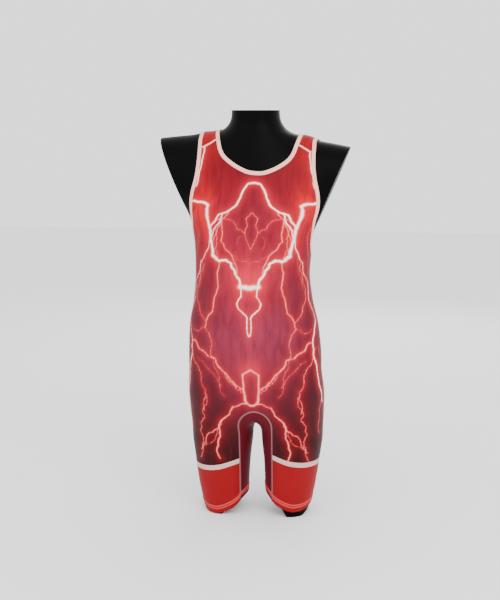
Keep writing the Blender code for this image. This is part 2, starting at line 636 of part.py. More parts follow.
def build_form():
    bm = bmesh.new()
    loft(bm, [np.stack([*oval(r[5], r[6], r[1], r[2], r[3], r[4]), np.full(28, r[0] + 0.02)], -1)
              for r in TORSO])
    for side in (-1, 1):
        loft(bm, [np.stack([*oval(LEG_MID + side * r[4], r[5], r[1], r[2], r[3], 2.15),
                            np.full(28, r[0])], -1) for r in LEG])
    loft(bm, [np.stack([*oval(r[4], r[5], r[1], r[2], r[3], 2.1), np.full(28, r[0])], -1) for r in NECK])
    beam = []
    for x in np.linspace(-0.245, 0.245, 15):
        ax = min(abs(x), 0.24)
        high, deep = float(column(ARM, 2, ax)), float(column(ARM, 3, ax))
        y, z = oval(float(column(ARM, 4, ax)), float(column(ARM, 1, ax)) + SHOULDER_TILT * x, deep, high, high, 2.25)
        beam.append(np.stack([np.full(28, x), y, z], -1))
    loft(bm, beam)
    bmesh.ops.recalc_face_normals(bm, faces=bm.faces[:])
    mesh = bpy.data.meshes.new("form_rough")
    bm.to_mesh(mesh)
    bm.free()
    rough = bpy.data.objects.new("form_rough", mesh)
    CUTTERS.objects.link(rough)
    remesh = rough.modifiers.new("one_skin", "REMESH")
    remesh.mode = "VOXEL"
    remesh.voxel_size = FORM_VOXEL
    remesh.adaptivity = 0.0
    thin = rough.modifiers.new("fewer_faces", "DECIMATE")
    thin.decimate_type = "COLLAPSE"
    thin.ratio = FORM_KEEP
    bpy.context.view_layer.update()
    skin = bpy.data.meshes.new_from_object(rough.evaluated_get(bpy.context.evaluated_depsgraph_get()))
    bpy.data.objects.remove(rough)
    at = np.empty(len(skin.vertices) * 3)
    skin.vertices.foreach_get("co", at)
    at = settle(at.reshape(-1, 3), -FORM_INSET, 8)
    # the tight saddle of the crotch stands a little further off the cloth
    near = np.exp(-((at[:, 0] - LEG_MID) / 0.035) ** 4 - ((at[:, 2] - 0.225) / 0.045) ** 4)
    at = settle(at, -FORM_INSET - CROTCH_INSET * near, 3) + np.array(SHIFT)
    skin.vertices.foreach_set("co", at.ravel())
    skin.name = "dress_form"
    skin.update()
    obj = dress(bpy.data.objects.new("dress_form", skin))
    cuts = [cutter("cut_neck", [(-0.3, NECK_TOP), (0.3, NECK_TOP), (0.3, 1.1), (-0.3, 1.1)], 0.3)]
    (ax, az), (bx, bz) = ARM_CUT
    for side in (-1, 1):
        way = np.array([ax - bx, az - bz]) / np.hypot(ax - bx, az - bz)
        low, high = np.array([bx, bz]) - way * 0.10, np.array([ax, az]) + way * 0.15
        corners = [low, high, high + np.array([0.4, -0.1]), low + np.array([0.4, -0.1])]
        corners = [(side * x + ARM_CUT_SHIFT, z + SHOULDER_TILT * side * x) for x, z in corners]
        cuts.append(cutter("cut_arm_%s" % ("left" if side < 0 else "right"), corners, 0.3))
    for side in (-1, 1):
        # underside of a thigh stump: flat foot outside, rising inside so that the cloth hides it
        r, x0 = LEG[1][1], LEG_MID + side * LEG[1][4]
        up = 0.0 if side < 0 else 0.010
        under = [(1.60, FLOOR + 0.032), (0.74, FLOOR), (0.06, FLOOR), (-0.28, 0.009 + up),
                 (-0.60, 0.020 + up), (-1.55, 0.045 + up)]
        corners = [(x0 + side * u * r, z) for u, z in under] + [(x0 - side * 1.55 * r, -0.2), (x0 + side * 1.6 * r, -0.2)]
        cuts.append(cutter("cut_foot_%s" % ("left" if side < 0 else "right"), corners, 0.3))
    for c in cuts:
        mod = obj.modifiers.new(c.name, "BOOLEAN")
        mod.operation = "DIFFERENCE"
        mod.solver = "EXACT"
        mod.object = c
    return obj


# ---------------------------------------------------------------- build
def main():
    global PARTS, CUTTERS, ROOT
    for o in list(bpy.data.objects):
        bpy.data.objects.remove(o)
    PARTS = bpy.data.collections.new(NAME)
    CUTTERS = bpy.data.collections.new("cutters")
    bpy.context.scene.collection.children.link(PARTS)
    bpy.context.scene.collection.children.link(CUTTERS)
    ROOT = bpy.data.objects.new("singlet_origin", None)
    PARTS.objects.link(ROOT)
    edges = build_panels()
    # neck: left front up to the shoulder, down the back, and round again
    fl, fr = edges[-1, False][0], edges[1, False][0]
    bl, br = edges[-1, True][0], edges[1, True][0]
    loop = np.concatenate([fl, bl[::-1][1:], br[1:], fr[::-1][1:-1]])
    build_binding("neck_binding", loop, -1, True)
    for side, word in ((-1, "left"), (1, "right")):
        f, b = edges[side, False][1], edges[side, True][1]
        loop = np.concatenate([f, b[::-1][1:-1]])
        build_binding("armhole_binding_" + word, loop, -side, True)
    build_bands()
    build_gusset()
    build_form()


main()
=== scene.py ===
"""Looks of the wrestling singlet on its black limbless dress form.

Every piece of cloth is a thin shell on the same smooth body surface as the part. The lightning print
is drawn here by code, from short tables of turning points that are roughened and mirrored.
"""

import bpy
import bmesh
import numpy as np
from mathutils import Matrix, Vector


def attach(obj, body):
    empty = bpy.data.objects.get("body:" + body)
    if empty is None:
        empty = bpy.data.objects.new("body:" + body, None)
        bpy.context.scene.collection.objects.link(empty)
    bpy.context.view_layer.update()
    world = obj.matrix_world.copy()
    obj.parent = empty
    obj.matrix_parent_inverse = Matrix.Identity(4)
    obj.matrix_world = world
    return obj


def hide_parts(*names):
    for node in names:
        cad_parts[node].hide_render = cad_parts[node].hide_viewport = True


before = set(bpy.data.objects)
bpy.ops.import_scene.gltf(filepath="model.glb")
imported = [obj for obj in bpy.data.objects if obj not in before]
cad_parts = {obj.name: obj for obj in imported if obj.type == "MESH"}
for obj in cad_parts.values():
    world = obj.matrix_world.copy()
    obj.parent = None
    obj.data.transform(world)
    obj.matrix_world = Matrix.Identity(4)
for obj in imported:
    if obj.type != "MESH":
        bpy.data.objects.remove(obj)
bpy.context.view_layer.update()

K = 10   # cells of the fine panels for each cell of the part's walls
ROWS_CUFF = 4
ROWS_LEG = 3 * K
ROWS_ARCH = 5 * K
ROWS_SIDE = 11 * K
ROWS_CHEST = 7 * K
ROWS_STRAP = 7 * K
COLS = 108   # across each half of the front or back

# ---------------------------------------------------------------- driving sizes
WALL = 0.0015            # knitted cloth
CLEAR = 0.0008           # body surface to the inside of the cloth
FORM_INSET = 0.0028      # body surface to the form, so the cloth stays clear of it
CROTCH_INSET = 0.004     # more of it between the thighs
SEAM_GAP = 0.0003        # between sewn pieces
BIND_WIDTH = 0.009       # folded elastic binding round neck and armholes
BIND_WALL = 0.0022
STRIPE_WIDTH = 0.012     # pale band above each leg band
FLOOR = -0.009           # height of the standing surface in the table frame
NECK_TOP = 0.924         # flat top of the neck stump
SHOULDER_TILT = -0.045   # the viewer's left shoulder is a little higher
LEG_MID = 0.0055         # x of the middle between the thighs
LEG_SHIFT = {-1: -0.006, 1: 0.006}    # hems: the left leg hangs a little lower
BAND_SHIFT = {-1: -0.008, 1: 0.008}   # pale bands, the same way
ARCH_HALF = 0.0395       # half width of the inner-leg piece seen from the front
ARCH_TOP = 0.2485        # height of its seam over the crotch
LEG_MID_SEAM = 0.0090    # x of its middle, a little to the viewer's right
SIDE_SEAM = -10.0        # degrees behind the side
PIVOT_Z = 0.700          # above this the rows fan over the shoulder about a line along X
PIVOT_Y = 0.010
FAN_RADIUS = 0.13        # length of row measure for one radian of fan
FAN_X = 0.030            # columns fan from this far each side of the middle
LEG_BLEND = (0.235, 0.36)  # rows between the thigh and the torso column origins
ARM_CUT = ((0.220, 0.862), (0.148, 0.690))   # slanted end of each shoulder stump, |x| and z
ARM_CUT_SHIFT = -0.003

# ---------------------------------------------------------------- section tables
# z, half width, front depth, back depth, corner power, centre x, centre y
TORSO = [
    (0.200, 0.1300, 0.070, 0.095, 2.20, 0.001, 0.004),
    (0.235, 0.1370, 0.078, 0.108, 2.20, 0.000, 0.004),
    (0.290, 0.1475, 0.090, 0.120, 2.25, -0.001, 0.004),
    (0.350, 0.1525, 0.094, 0.114, 2.30, -0.001, 0.004),
    (0.430, 0.1480, 0.093, 0.096, 2.30, -0.003, 0.002),
    (0.500, 0.1345, 0.091, 0.086, 2.30, -0.005, 0.000),
    (0.560, 0.1290, 0.092, 0.086, 2.30, -0.006, 0.000),
    (0.620, 0.1320, 0.098, 0.096, 2.35, -0.004, 0.002),
    (0.680, 0.1430, 0.103, 0.108, 2.40, -0.003, 0.004),
    (0.740, 0.1470, 0.096, 0.112, 2.40, -0.002, 0.008),
    (0.800, 0.1400, 0.078, 0.100, 2.30, -0.003, 0.014),
    (0.850, 0.1100, 0.052, 0.075, 2.10, -0.002, 0.020),
]
# z, half width, front depth, back depth, centre from LEG_MID, centre y
LEG = [
    (-0.080, 0.0410, 0.0455, 0.0490, 0.0680, -0.008),
    (0.000, 0.0495, 0.054, 0.058, 0.0735, -0.006),
    (0.060, 0.0570, 0.061, 0.066, 0.0790, -0.004),
    (0.120, 0.0630, 0.070, 0.078, 0.0815, 0.000),
    (0.180, 0.0690, 0.078, 0.092, 0.0820, 0.002),
    (0.230, 0.0690, 0.082, 0.102, 0.0795, 0.004),
    (0.280, 0.0680, 0.082, 0.108, 0.0770, 0.004),
]
# z, half width, front depth, back depth, centre x, centre y
NECK = [
    (0.780, 0.0900, 0.085, 0.075, -0.002, 0.022),
    (0.840, 0.0760, 0.074, 0.064, -0.001, 0.018),
    (0.880, 0.0600, 0.063, 0.058, 0.000, 0.012),
    (0.915, 0.0545, 0.058, 0.056, 0.000, 0.006),
    (0.960, 0.0535, 0.057, 0.056, 0.001, 0.000),
]
# |x|, centre z, half height, half depth, centre y
ARM = [
    (0.000, 0.775, 0.088, 0.080, 0.014),
    (0.090, 0.778, 0.090, 0.076, 0.018),
    (0.150, 0.776, 0.086, 0.070, 0.020),
    (0.240, 0.771, 0.078, 0.062, 0.020),
]
# row height, x of the garment's middle
MIDDLE = [(0.00, 0.0055), (0.24, 0.0090), (0.37, 0.0010), (0.51, 0.0020), (0.62, 0.0050),
          (0.70, 0.0060), (0.76, 0.0090), (0.80, 0.0115), (0.84, 0.0110), (0.96, 0.0110)]
# degrees round the thigh (0 outside, 90 front, 180 inside, -90 back), height of the hem
HEM = [(-180, 0.0380), (-168, 0.0370), (-140, 0.0280), (-110, 0.0160), (-90, 0.0120), (-60, 0.0080),
       (-30, 0.0070), (0, 0.0080), (20, 0.0075), (40, 0.0030), (58, -0.0005), (73, -0.0010),
       (90, 0.0030), (106, 0.0097), (123, 0.0185), (137, 0.0290), (160, 0.0360), (180, 0.0380)]
# degrees round the thigh, height of the pale band's upper edge
BAND = [(-140, 0.1340), (-90, 0.1240), (-45, 0.1180), (0, 0.1165), (41, 0.1180), (60, 0.1190),
        (77, 0.1213), (93, 0.1248), (107, 0.1300), (125, 0.1350), (140, 0.1370)]
# centre line of the bindings: column angle, row height (front rows, then back rows)
NECK_FRONT = [(99.5, 0.7993), (97.6, 0.7999), (88.0, 0.8076), (78.0, 0.8223), (72.0, 0.8390),
              (70.5, 0.8540), (70.3, 0.8675)]
NECK_BACK = [(-101.0, 0.8080), (-97.0, 0.8086), (-88.0, 0.8150), (-79.0, 0.8290), (-73.0, 0.8500),
             (-70.4, 0.8750), (-69.9, 0.9080), (-70.3, 0.9409)]
ARM_FRONT = [(-10.0, 0.6000), (8.0, 0.6060), (18.0, 0.6250), (24.0, 0.6600), (26.5, 0.6840),
             (26.8, 0.7000), (29.8, 0.7400), (36.0, 0.7750), (45.9, 0.8120), (52.3, 0.8380),
             (56.2, 0.8595)]
ARM_BACK = [(-10.0, 0.6000), (-22.0, 0.6080), (-29.0, 0.6350), (-33.0, 0.6700), (-36.0, 0.7050),
            (-41.0, 0.7500), (-47.0, 0.7900), (-53.0, 0.8300), (-58.0, 0.8700), (-59.6, 0.9100),
            (-56.2, 0.9489)]

# ---------------------------------------------------------------- smooth tables
def slopes(xs, ys):
    """Slopes of the monotone cubic through (xs, ys)."""
    h, d = np.diff(xs), np.diff(ys) / np.diff(xs)
    m = np.zeros(len(xs))
    m[0], m[-1] = d[0], d[-1]
    for i in range(1, len(xs) - 1):
        if d[i - 1] * d[i] > 0:
            w1, w2 = 2 * h[i] + h[i - 1], h[i] + 2 * h[i - 1]
            m[i] = (w1 + w2) / (w1 / d[i - 1] + w2 / d[i])
    return m


def read_cubic(xs, ys, m, x):
    x = np.clip(x, xs[0], xs[-1])
    i = np.clip(np.searchsorted(xs, x, side="right") - 1, 0, len(xs) - 2)
    h = xs[i + 1] - xs[i]
    t = (x - xs[i]) / h
    u = t * t
    v = u * t
    return ((2 * v - 3 * u + 1) * ys[i] + (v - 2 * u + t) * h * m[i]
            + (3 * u - 2 * v) * ys[i + 1] + (v - u) * h * m[i + 1])


def smooth(xs, ys, x):
    """Monotone cubic through (xs, ys), read at x."""
    xs, ys = np.asarray(xs, float), np.asarray(ys, float)
    return read_cubic(xs, ys, slopes(xs, ys), x)


CUBICS = {}


def column(rows, k, x):
    """Column k of a table, read smoothly at x of column 0."""
    key = (id(rows), k)
    if key not in CUBICS:
        xs, ys = np.array([r[0] for r in rows]), np.array([r[k] for r in rows])
        CUBICS[key] = (xs, ys, slopes(xs, ys))
    return read_cubic(*CUBICS[key], x)


# ---------------------------------------------------------------- the body surface
def ring(dx, dy, a, b, n):
    q = ((np.abs(dx) / a) ** n + (np.abs(dy) / b) ** n) ** (1 / n)
    return np.sqrt(dx * dx + dy * dy) * (1 - 1 / np.maximum(q, 1e-6))


def join(a, b, k):
    h = np.clip(0.5 + 0.5 * (b - a) / k, 0, 1)
    return b * (1 - h) + a * h - k * h * (1 - h)


def trim(a, b, k):
    return -join(-a, -b, k)


def torso(x, y, z):
    zz = np.clip(z, TORSO[0][0], TORSO[-1][0])
    dx, dy = x - column(TORSO, 5, zz), y - column(TORSO, 6, zz)
    depth = np.where(dy < 0, column(TORSO, 2, zz), column(TORSO, 3, zz))
    d = ring(dx, dy, column(TORSO, 1, zz), depth, column(TORSO, 4, zz))
    return trim(trim(d, 0.220 - z, 0.035), z - 0.850, 0.03)


def thigh(x, y, z, side):
    zz = np.clip(z, LEG[0][0], LEG[-1][0])
    dx, dy = x - (LEG_MID + side * column(LEG, 4, zz)), y - column(LEG, 5, zz)
    depth = np.where(dy < 0, column(LEG, 2, zz), column(LEG, 3, zz))
    return trim(ring(dx, dy, column(LEG, 1, zz), depth, 2.15), z - 0.30, 0.05)


def neck(x, y, z):
    zz = np.clip(z, NECK[0][0], NECK[-1][0])
    dx, dy = x - column(NECK, 4, zz), y - column(NECK, 5, zz)
    depth = np.where(dy < 0, column(NECK, 2, zz), column(NECK, 3, zz))
    return trim(ring(dx, dy, column(NECK, 1, zz), depth, 2.1), 0.80 - z, 0.03)


def shoulders(x, y, z):
    ax = np.clip(np.abs(x), 0, 0.24)
    dz, dy = z - (column(ARM, 1, ax) + SHOULDER_TILT * x), y - column(ARM, 4, ax)
    return ring(dz, dy, column(ARM, 2, ax), column(ARM, 3, ax), 2.25)


def body(p):
    """Signed distance, nearly, to the smooth body surface."""
    x, y, z = p[..., 0], p[..., 1], p[..., 2]
    d = join(torso(x, y, z), shoulders(x, y, z), 0.045)
    d = join(d, neck(x, y, z), 0.045)
    return join(d, join(thigh(x, y, z, -1), thigh(x, y, z, 1), 0.012), 0.045)


def slope(p, e=4e-4):
    return np.stack([body(p + np.eye(3)[k] * e) - body(p - np.eye(3)[k] * e) for k in range(3)], -1) / (2 * e)


def normal(p):
    g = slope(p)
    return g / np.maximum(np.linalg.norm(g, axis=-1, keepdims=True), 1e-9)


def settle(p, level=0.0, steps=3):
    """Move points square to the surface until they are at the level."""
    for _ in range(steps):
        g = slope(p)
        p = p - g * ((body(p) - level) / np.maximum((g * g).sum(-1), 0.05))[..., None]
    return p


def cast(start, way, reach, outward=True, steps=20):
    """First point along each ray where it leaves (or enters) the body."""
    start = np.broadcast_to(start, way.shape)
    sign = 1.0 if outward else -1.0
    found = np.zeros(way.shape[:-1], bool)
    low = np.zeros(way.shape[:-1])
    high = np.full(way.shape[:-1], reach)
    ts = np.linspace(0, reach, steps + 1)
    for i in range(1, steps + 1):
        new = (sign * body(start + way * ts[i]) > 0) & ~found
        low, high = np.where(new, ts[i - 1], low), np.where(new, ts[i], high)
        found |= new
    for _ in range(12):
        mid = (low + high) / 2
        past = sign * body(start + way * mid[..., None]) > 0
        low, high = np.where(past, low, mid), np.where(past, mid, high)
    return start + way * ((low + high) / 2)[..., None]


# ---------------------------------------------------------------- columns and rows on the body
def leg_share(g):
    t = np.clip((np.asarray(g, float) - LEG_BLEND[0]) / (LEG_BLEND[1] - LEG_BLEND[0]), 0, 1)
    return 1 - t * t * (3 - 2 * t)


def row_origin(side, g):
    """Where the columns of one half fan from, on the row at height g."""
    g = np.asarray(g, float)
    w = leg_share(g)
    gl = np.clip(g, -0.02, 0.28)
    x = w * (LEG_MID + side * column(LEG, 4, gl)) + (1 - w) * (column(MIDDLE, 1, g) + side * FAN_X)
    y = w * column(LEG, 5, gl) + (1 - w) * PIVOT_Y
    return x, y


def place(side, angle, g):
    """Body surface point at a column angle (degrees, 0 outside, 90 front, -90 back) on row g."""
    angle, g = np.broadcast_arrays(np.asarray(angle, float), np.asarray(g, float))
    a = np.radians(angle)
    x, y = row_origin(side, g)
    fan = np.maximum(g - PIVOT_Z, 0) / FAN_RADIUS
    way = np.stack([side * np.cos(a), -np.sin(a) * np.cos(fan), np.abs(np.sin(a)) * np.sin(fan)], -1)
    return cast(np.stack([x, y, np.minimum(g, PIVOT_Z)], -1), way, 0.26)


def locate(side, p):
    """Column angle and row of a surface point, the inverse of place()."""
    out = []
    for q in np.atleast_2d(p):
        if q[2] <= PIVOT_Z:
            g = q[2]
            x, y = row_origin(side, g)
            out.append((np.degrees(np.arctan2(-(q[1] - y), side * (q[0] - x))), g))
        else:
            back = q[3] if len(q) > 3 else 0.0
            dy = (q[1] - PIVOT_Y) * (1 if back else -1)
            fan = np.arctan2(q[2] - PIVOT_Z, dy)
            g = PIVOT_Z + FAN_RADIUS * fan
            x, y = row_origin(side, g)
            a = np.degrees(np.arctan2(np.hypot(q[2] - PIVOT_Z, q[1] - PIVOT_Y), side * (q[0] - x)))
            out.append((-a if back else a, g))
    return np.array(out)


def angle_at_x(side, g, x, back=False):
    """Column angle whose surface point on row g has the given x."""
    g, x = np.broadcast_arrays(np.atleast_1d(np.asarray(g, float)), np.asarray(x, float))
    turn = 1.0 if back else -1.0
    fan = np.maximum(g - PIVOT_Z, 0) / FAN_RADIUS
    y = np.where(g < 0.27, turn * 0.045, PIVOT_Y)
    way = np.stack([0 * g, turn * np.cos(fan), np.sin(fan)], -1)
    p = cast(np.stack([x, y, np.minimum(g, PIVOT_Z)], -1), way, 0.26)
    tag = np.full((len(g), 1), 1.0 if back else 0.0)
    return locate(side, np.hstack([p, tag]))[:, 0]


# ---------------------------------------------------------------- seam and edge lines
def polyline(points, count):
    """Points spaced evenly along a line of points."""
    step = np.r_[0, np.cumsum(np.linalg.norm(np.diff(points, axis=0), axis=1))]
    t = np.linspace(0, step[-1], count)
    return np.stack([np.interp(t, step, points[:, k]) for k in range(3)], -1)


def edge_line(side, rows, count):
    """A smooth edge through table rows (angle, g), as evenly spaced surface points."""
    key = np.arange(len(rows), dtype=float)
    fine = np.linspace(0, key[-1], 200)
    angle = smooth(key, [r[0] for r in rows], fine)
    g = smooth(key, [r[1] for r in rows], fine)
    return polyline(place(side, angle, g), 4 * count - 3)


def beside(line, offset, flip, closed=False):
    """The line moved over the surface, square to itself."""
    if closed:
        along = np.roll(line, -1, 0) - np.roll(line, 1, 0)
    else:
        along = np.gradient(line, axis=0)
    way = np.cross(normal(line), along)
    way /= np.linalg.norm(way, axis=1, keepdims=True)
    return settle(line + way * offset * flip)


def band_height(side, angle):
    return smooth([r[0] for r in BAND], [r[1] for r in BAND], angle) + BAND_SHIFT[side]


def hem_height(side, angle):
    return smooth([r[0] for r in HEM], [r[1] for r in HEM], angle) + LEG_SHIFT[side]


def seam_angle(side, g, back, grow):
    """Column angle of the inner-leg seam on thigh rows."""
    x = LEG_MID_SEAM + side * (ARCH_HALF + grow)
    return angle_at_x(side, g, np.full(np.shape(g), x), back)


def seam_rows(side, back, grow):
    """Inner seam of a panel half from the pale band up to the crotch: (angle, g) rows."""
    rise = ARCH_TOP - ARCH_HALF
    turn = np.radians(np.linspace(0, 90, ROWS_ARCH + 1))
    r = ARCH_HALF + grow
    start_g = np.array([0.13])
    for _ in range(6):
        a = seam_angle(side, start_g, back, grow)
        start_g = np.array([band_height(side, abs(a[0]) if not back else a[0])]) + SEAM_GAP / 2
    g = np.r_[np.linspace(start_g[0], rise, ROWS_LEG + 1), rise + r * np.sin(turn[1:])]
    half = np.r_[np.full(ROWS_LEG + 1, r), r * np.cos(turn[1:])]
    angle = angle_at_x(side, g, LEG_MID_SEAM + side * half, back)
    return angle, g



# ---------------------------------------------------------------- meshes
SHIFT = np.array([0.0028, -0.0131, -FLOOR])
ROOT = "root"
SHOULDER_ENDS = {}


def srgb(text):
    """Linear colour of a #rrggbb text."""
    v = np.array([int(text[i:i + 2], 16) for i in (1, 3, 5)]) / 255
    return tuple(np.where(v <= 0.04045, v / 12.92, ((v + 0.055) / 1.055) ** 2.4))


def add_mesh(name, verts, faces, smooth_shade=True):
    """faces: one array of quads, or a list of arrays."""
    groups = faces if isinstance(faces, list) else [faces]
    used = np.unique(np.concatenate([f.ravel() for f in groups]))
    new = np.full(len(verts), -1)
    new[used] = np.arange(len(used))
    mesh = bpy.data.meshes.new(name)
    sizes = np.concatenate([np.full(len(f), f.shape[1]) for f in groups])
    loops = np.concatenate([new[f].ravel() for f in groups])
    starts = np.r_[0, np.cumsum(sizes)[:-1]]
    mesh.vertices.add(len(used))
    mesh.vertices.foreach_set("co", (verts[used] + SHIFT).astype(np.float32).ravel())
    mesh.loops.add(len(loops))
    mesh.loops.foreach_set("vertex_index", loops.astype(np.int32))
    mesh.polygons.add(len(sizes))
    mesh.polygons.foreach_set("loop_start", starts.astype(np.int32))
    mesh.update(calc_edges=True)
    mesh.validate()
    if smooth_shade:
        mesh.shade_smooth()
    obj = bpy.data.objects.new(name, mesh)
    bpy.context.scene.collection.objects.link(obj)
    return obj, used


def put(obj, mat, slot, *nodes):
    obj.data.materials.append(mat)
    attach(obj, ROOT)
    if nodes:
        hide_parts(*nodes)
    return obj


def attribute(obj, name, values):
    values = np.asarray(values, np.float32)
    kind = {1: "FLOAT", 3: "FLOAT_VECTOR", 4: "FLOAT_COLOR"}[1 if values.ndim == 1 else values.shape[1]]
    layer = obj.data.attributes.new(name, kind, "POINT")
    layer.data.foreach_set({"FLOAT": "value", "FLOAT_VECTOR": "vector", "FLOAT_COLOR": "color"}[kind], values.ravel())


def quads(ids):
    return np.stack([ids[:-1, :-1], ids[:-1, 1:], ids[1:, 1:], ids[1:, :-1]], -1).reshape(-1, 4)


def facing(verts, faces, out):
    """True if the faces look along out."""
    a, b, c = verts[faces[:, 0]], verts[faces[:, 1]], verts[faces[:, 2]]
    return float((np.cross(b - a, c - a) * out[faces[:, 0]]).sum()) > 0


def shell(name, points, low=CLEAR, high=CLEAR + WALL, round_edge=0.0):
    """A closed thin shell on a grid of body points. low and high are one size or a grid of sizes."""
    rows, cols = points.shape[:2]
    flat = points.reshape(-1, 3)
    out = normal(flat)
    n = rows * cols
    low, high = np.broadcast_to(low, (rows, cols)).ravel(), np.broadcast_to(high, (rows, cols)).ravel()
    verts = np.concatenate([flat + out * high[:, None], flat + out * low[:, None]])
    ids = np.arange(n).reshape(rows, cols)
    top = quads(ids)
    good = facing(verts, top, np.concatenate([out, out]))
    under = top[:, ::-1] + n
    loop = np.concatenate([ids[0, :-1], ids[:-1, -1], ids[-1, :0:-1], ids[:0:-1, 0]])
    nxt = np.roll(loop, -1)
    rim = np.stack([nxt, loop, loop + n, nxt + n], -1)
    faces = np.concatenate([top, under, rim])
    if not good:
        faces = faces[:, ::-1]
    obj, _ = add_mesh(name, verts, faces)
    obj.data.set_sharp_from_angle(angle=np.radians(50))
    return obj


def tube(name, line, offsets, heights, base, closed, flip=1, wave=None, cap=True):
    """A low band beside a line of body points: a cross-section of offsets and heights, flat beneath."""
    lanes = [beside(line, d, flip, closed) for d in offsets]
    outs = [normal(p) for p in lanes]
    top = []
    for d, (p, h) in enumerate(zip(lanes, heights)):
        lift = base + h * (wave[:, d] if wave is not None else 1.0)
        top.append(p + outs[d] * np.broadcast_to(lift, (len(p),))[:, None])
    bottom = [lanes[i] + outs[i] * (base - 0.0004) for i in range(len(lanes) - 1, -1, -1)]
    ring_pts = np.stack(top + bottom, 1)
    n, k = ring_pts.shape[:2]
    verts = ring_pts.reshape(-1, 3)
    ids = np.arange(n * k).reshape(n, k)
    ids = np.concatenate([ids, ids[:, :1]], 1)
    if closed:
        ids = np.concatenate([ids, ids[:1]], 0)
    faces = [quads(ids)]
    middle = verts.reshape(n, k, 3).mean(1)
    a = faces[0]
    f_mid = verts[a].mean(1)
    f_norm = np.cross(verts[a[:, 1]] - verts[a[:, 0]], verts[a[:, 2]] - verts[a[:, 0]])
    if float((f_norm * (f_mid - middle[a[:, 0] // k])).sum()) < 0:
        faces[0] = a[:, ::-1]
        turned = True
    else:
        turned = False
    if not closed and cap:
        first, last = np.arange(k)[None], (np.arange(k) + (n - 1) * k)[None]
        faces.append(np.concatenate([first[:, ::-1], last]) if turned else np.concatenate([first, last[:, ::-1]]))
        faces[-1] = faces[-1][:, ::-1]
    obj, _ = add_mesh(name, verts, faces)
    obj.data.set_sharp_from_angle(angle=np.radians(60))
    return obj


# ---------------------------------------------------------------- the print
# Turning points of the bolts on one half, in millimetres from the print's axis and of row height; each is
# roughened and mirrored: half width in mm, brightness, roughness, share of it on the viewer's left, points
MAIN_BOLTS = [
    (3.7, 1.0, 0.05, 0.85, [(178, 757), (146, 745), (101, 725), (100, 702), (97, 672), (95, 640), (88, 606), (70, 594)]),
    (2.6, 1.0, 0.10, 0.90, [(70, 594), (55, 597), (42, 589), (32, 566), (24, 556), (19, 538)]),
    (4.8, 1.0, 0.02, 1.00, [(20, 538), (-3, 535)]),
    (2.0, 1.0, 0.035, 0.95, [(-3, 780), (13, 778), (21, 766), (27, 745), (36, 722), (54, 704)]),
    (1.7, 0.95, 0.09, 0.80, [(54, 704), (74, 696), (96, 672)]),
    (1.5, 0.9, 0.10, 0.80, [(54, 706), (70, 686), (84, 668), (97, 646)]),
    (1.7, 0.9, 0.05, 1.00, [(18, 536), (17, 516), (27, 500), (23, 487), (8, 474), (4, 466), (1.2, 425)]),
    (1.4, 0.85, 0.07, 0.88, [(97, 642), (108, 612), (124, 588), (131, 560), (148, 538), (147, 502), (167, 470), (170, 452)]),
    (2.0, 0.95, 0.05, 0.66, [(170, 452), (158, 428), (150, 403), (151, 376), (162, 349), (168, 319), (181, 285), (184, 262)]),
    (1.6, 0.9, 0.07, 1.00, [(120, 862), (125, 836), (133, 812), (142, 786)]),
]
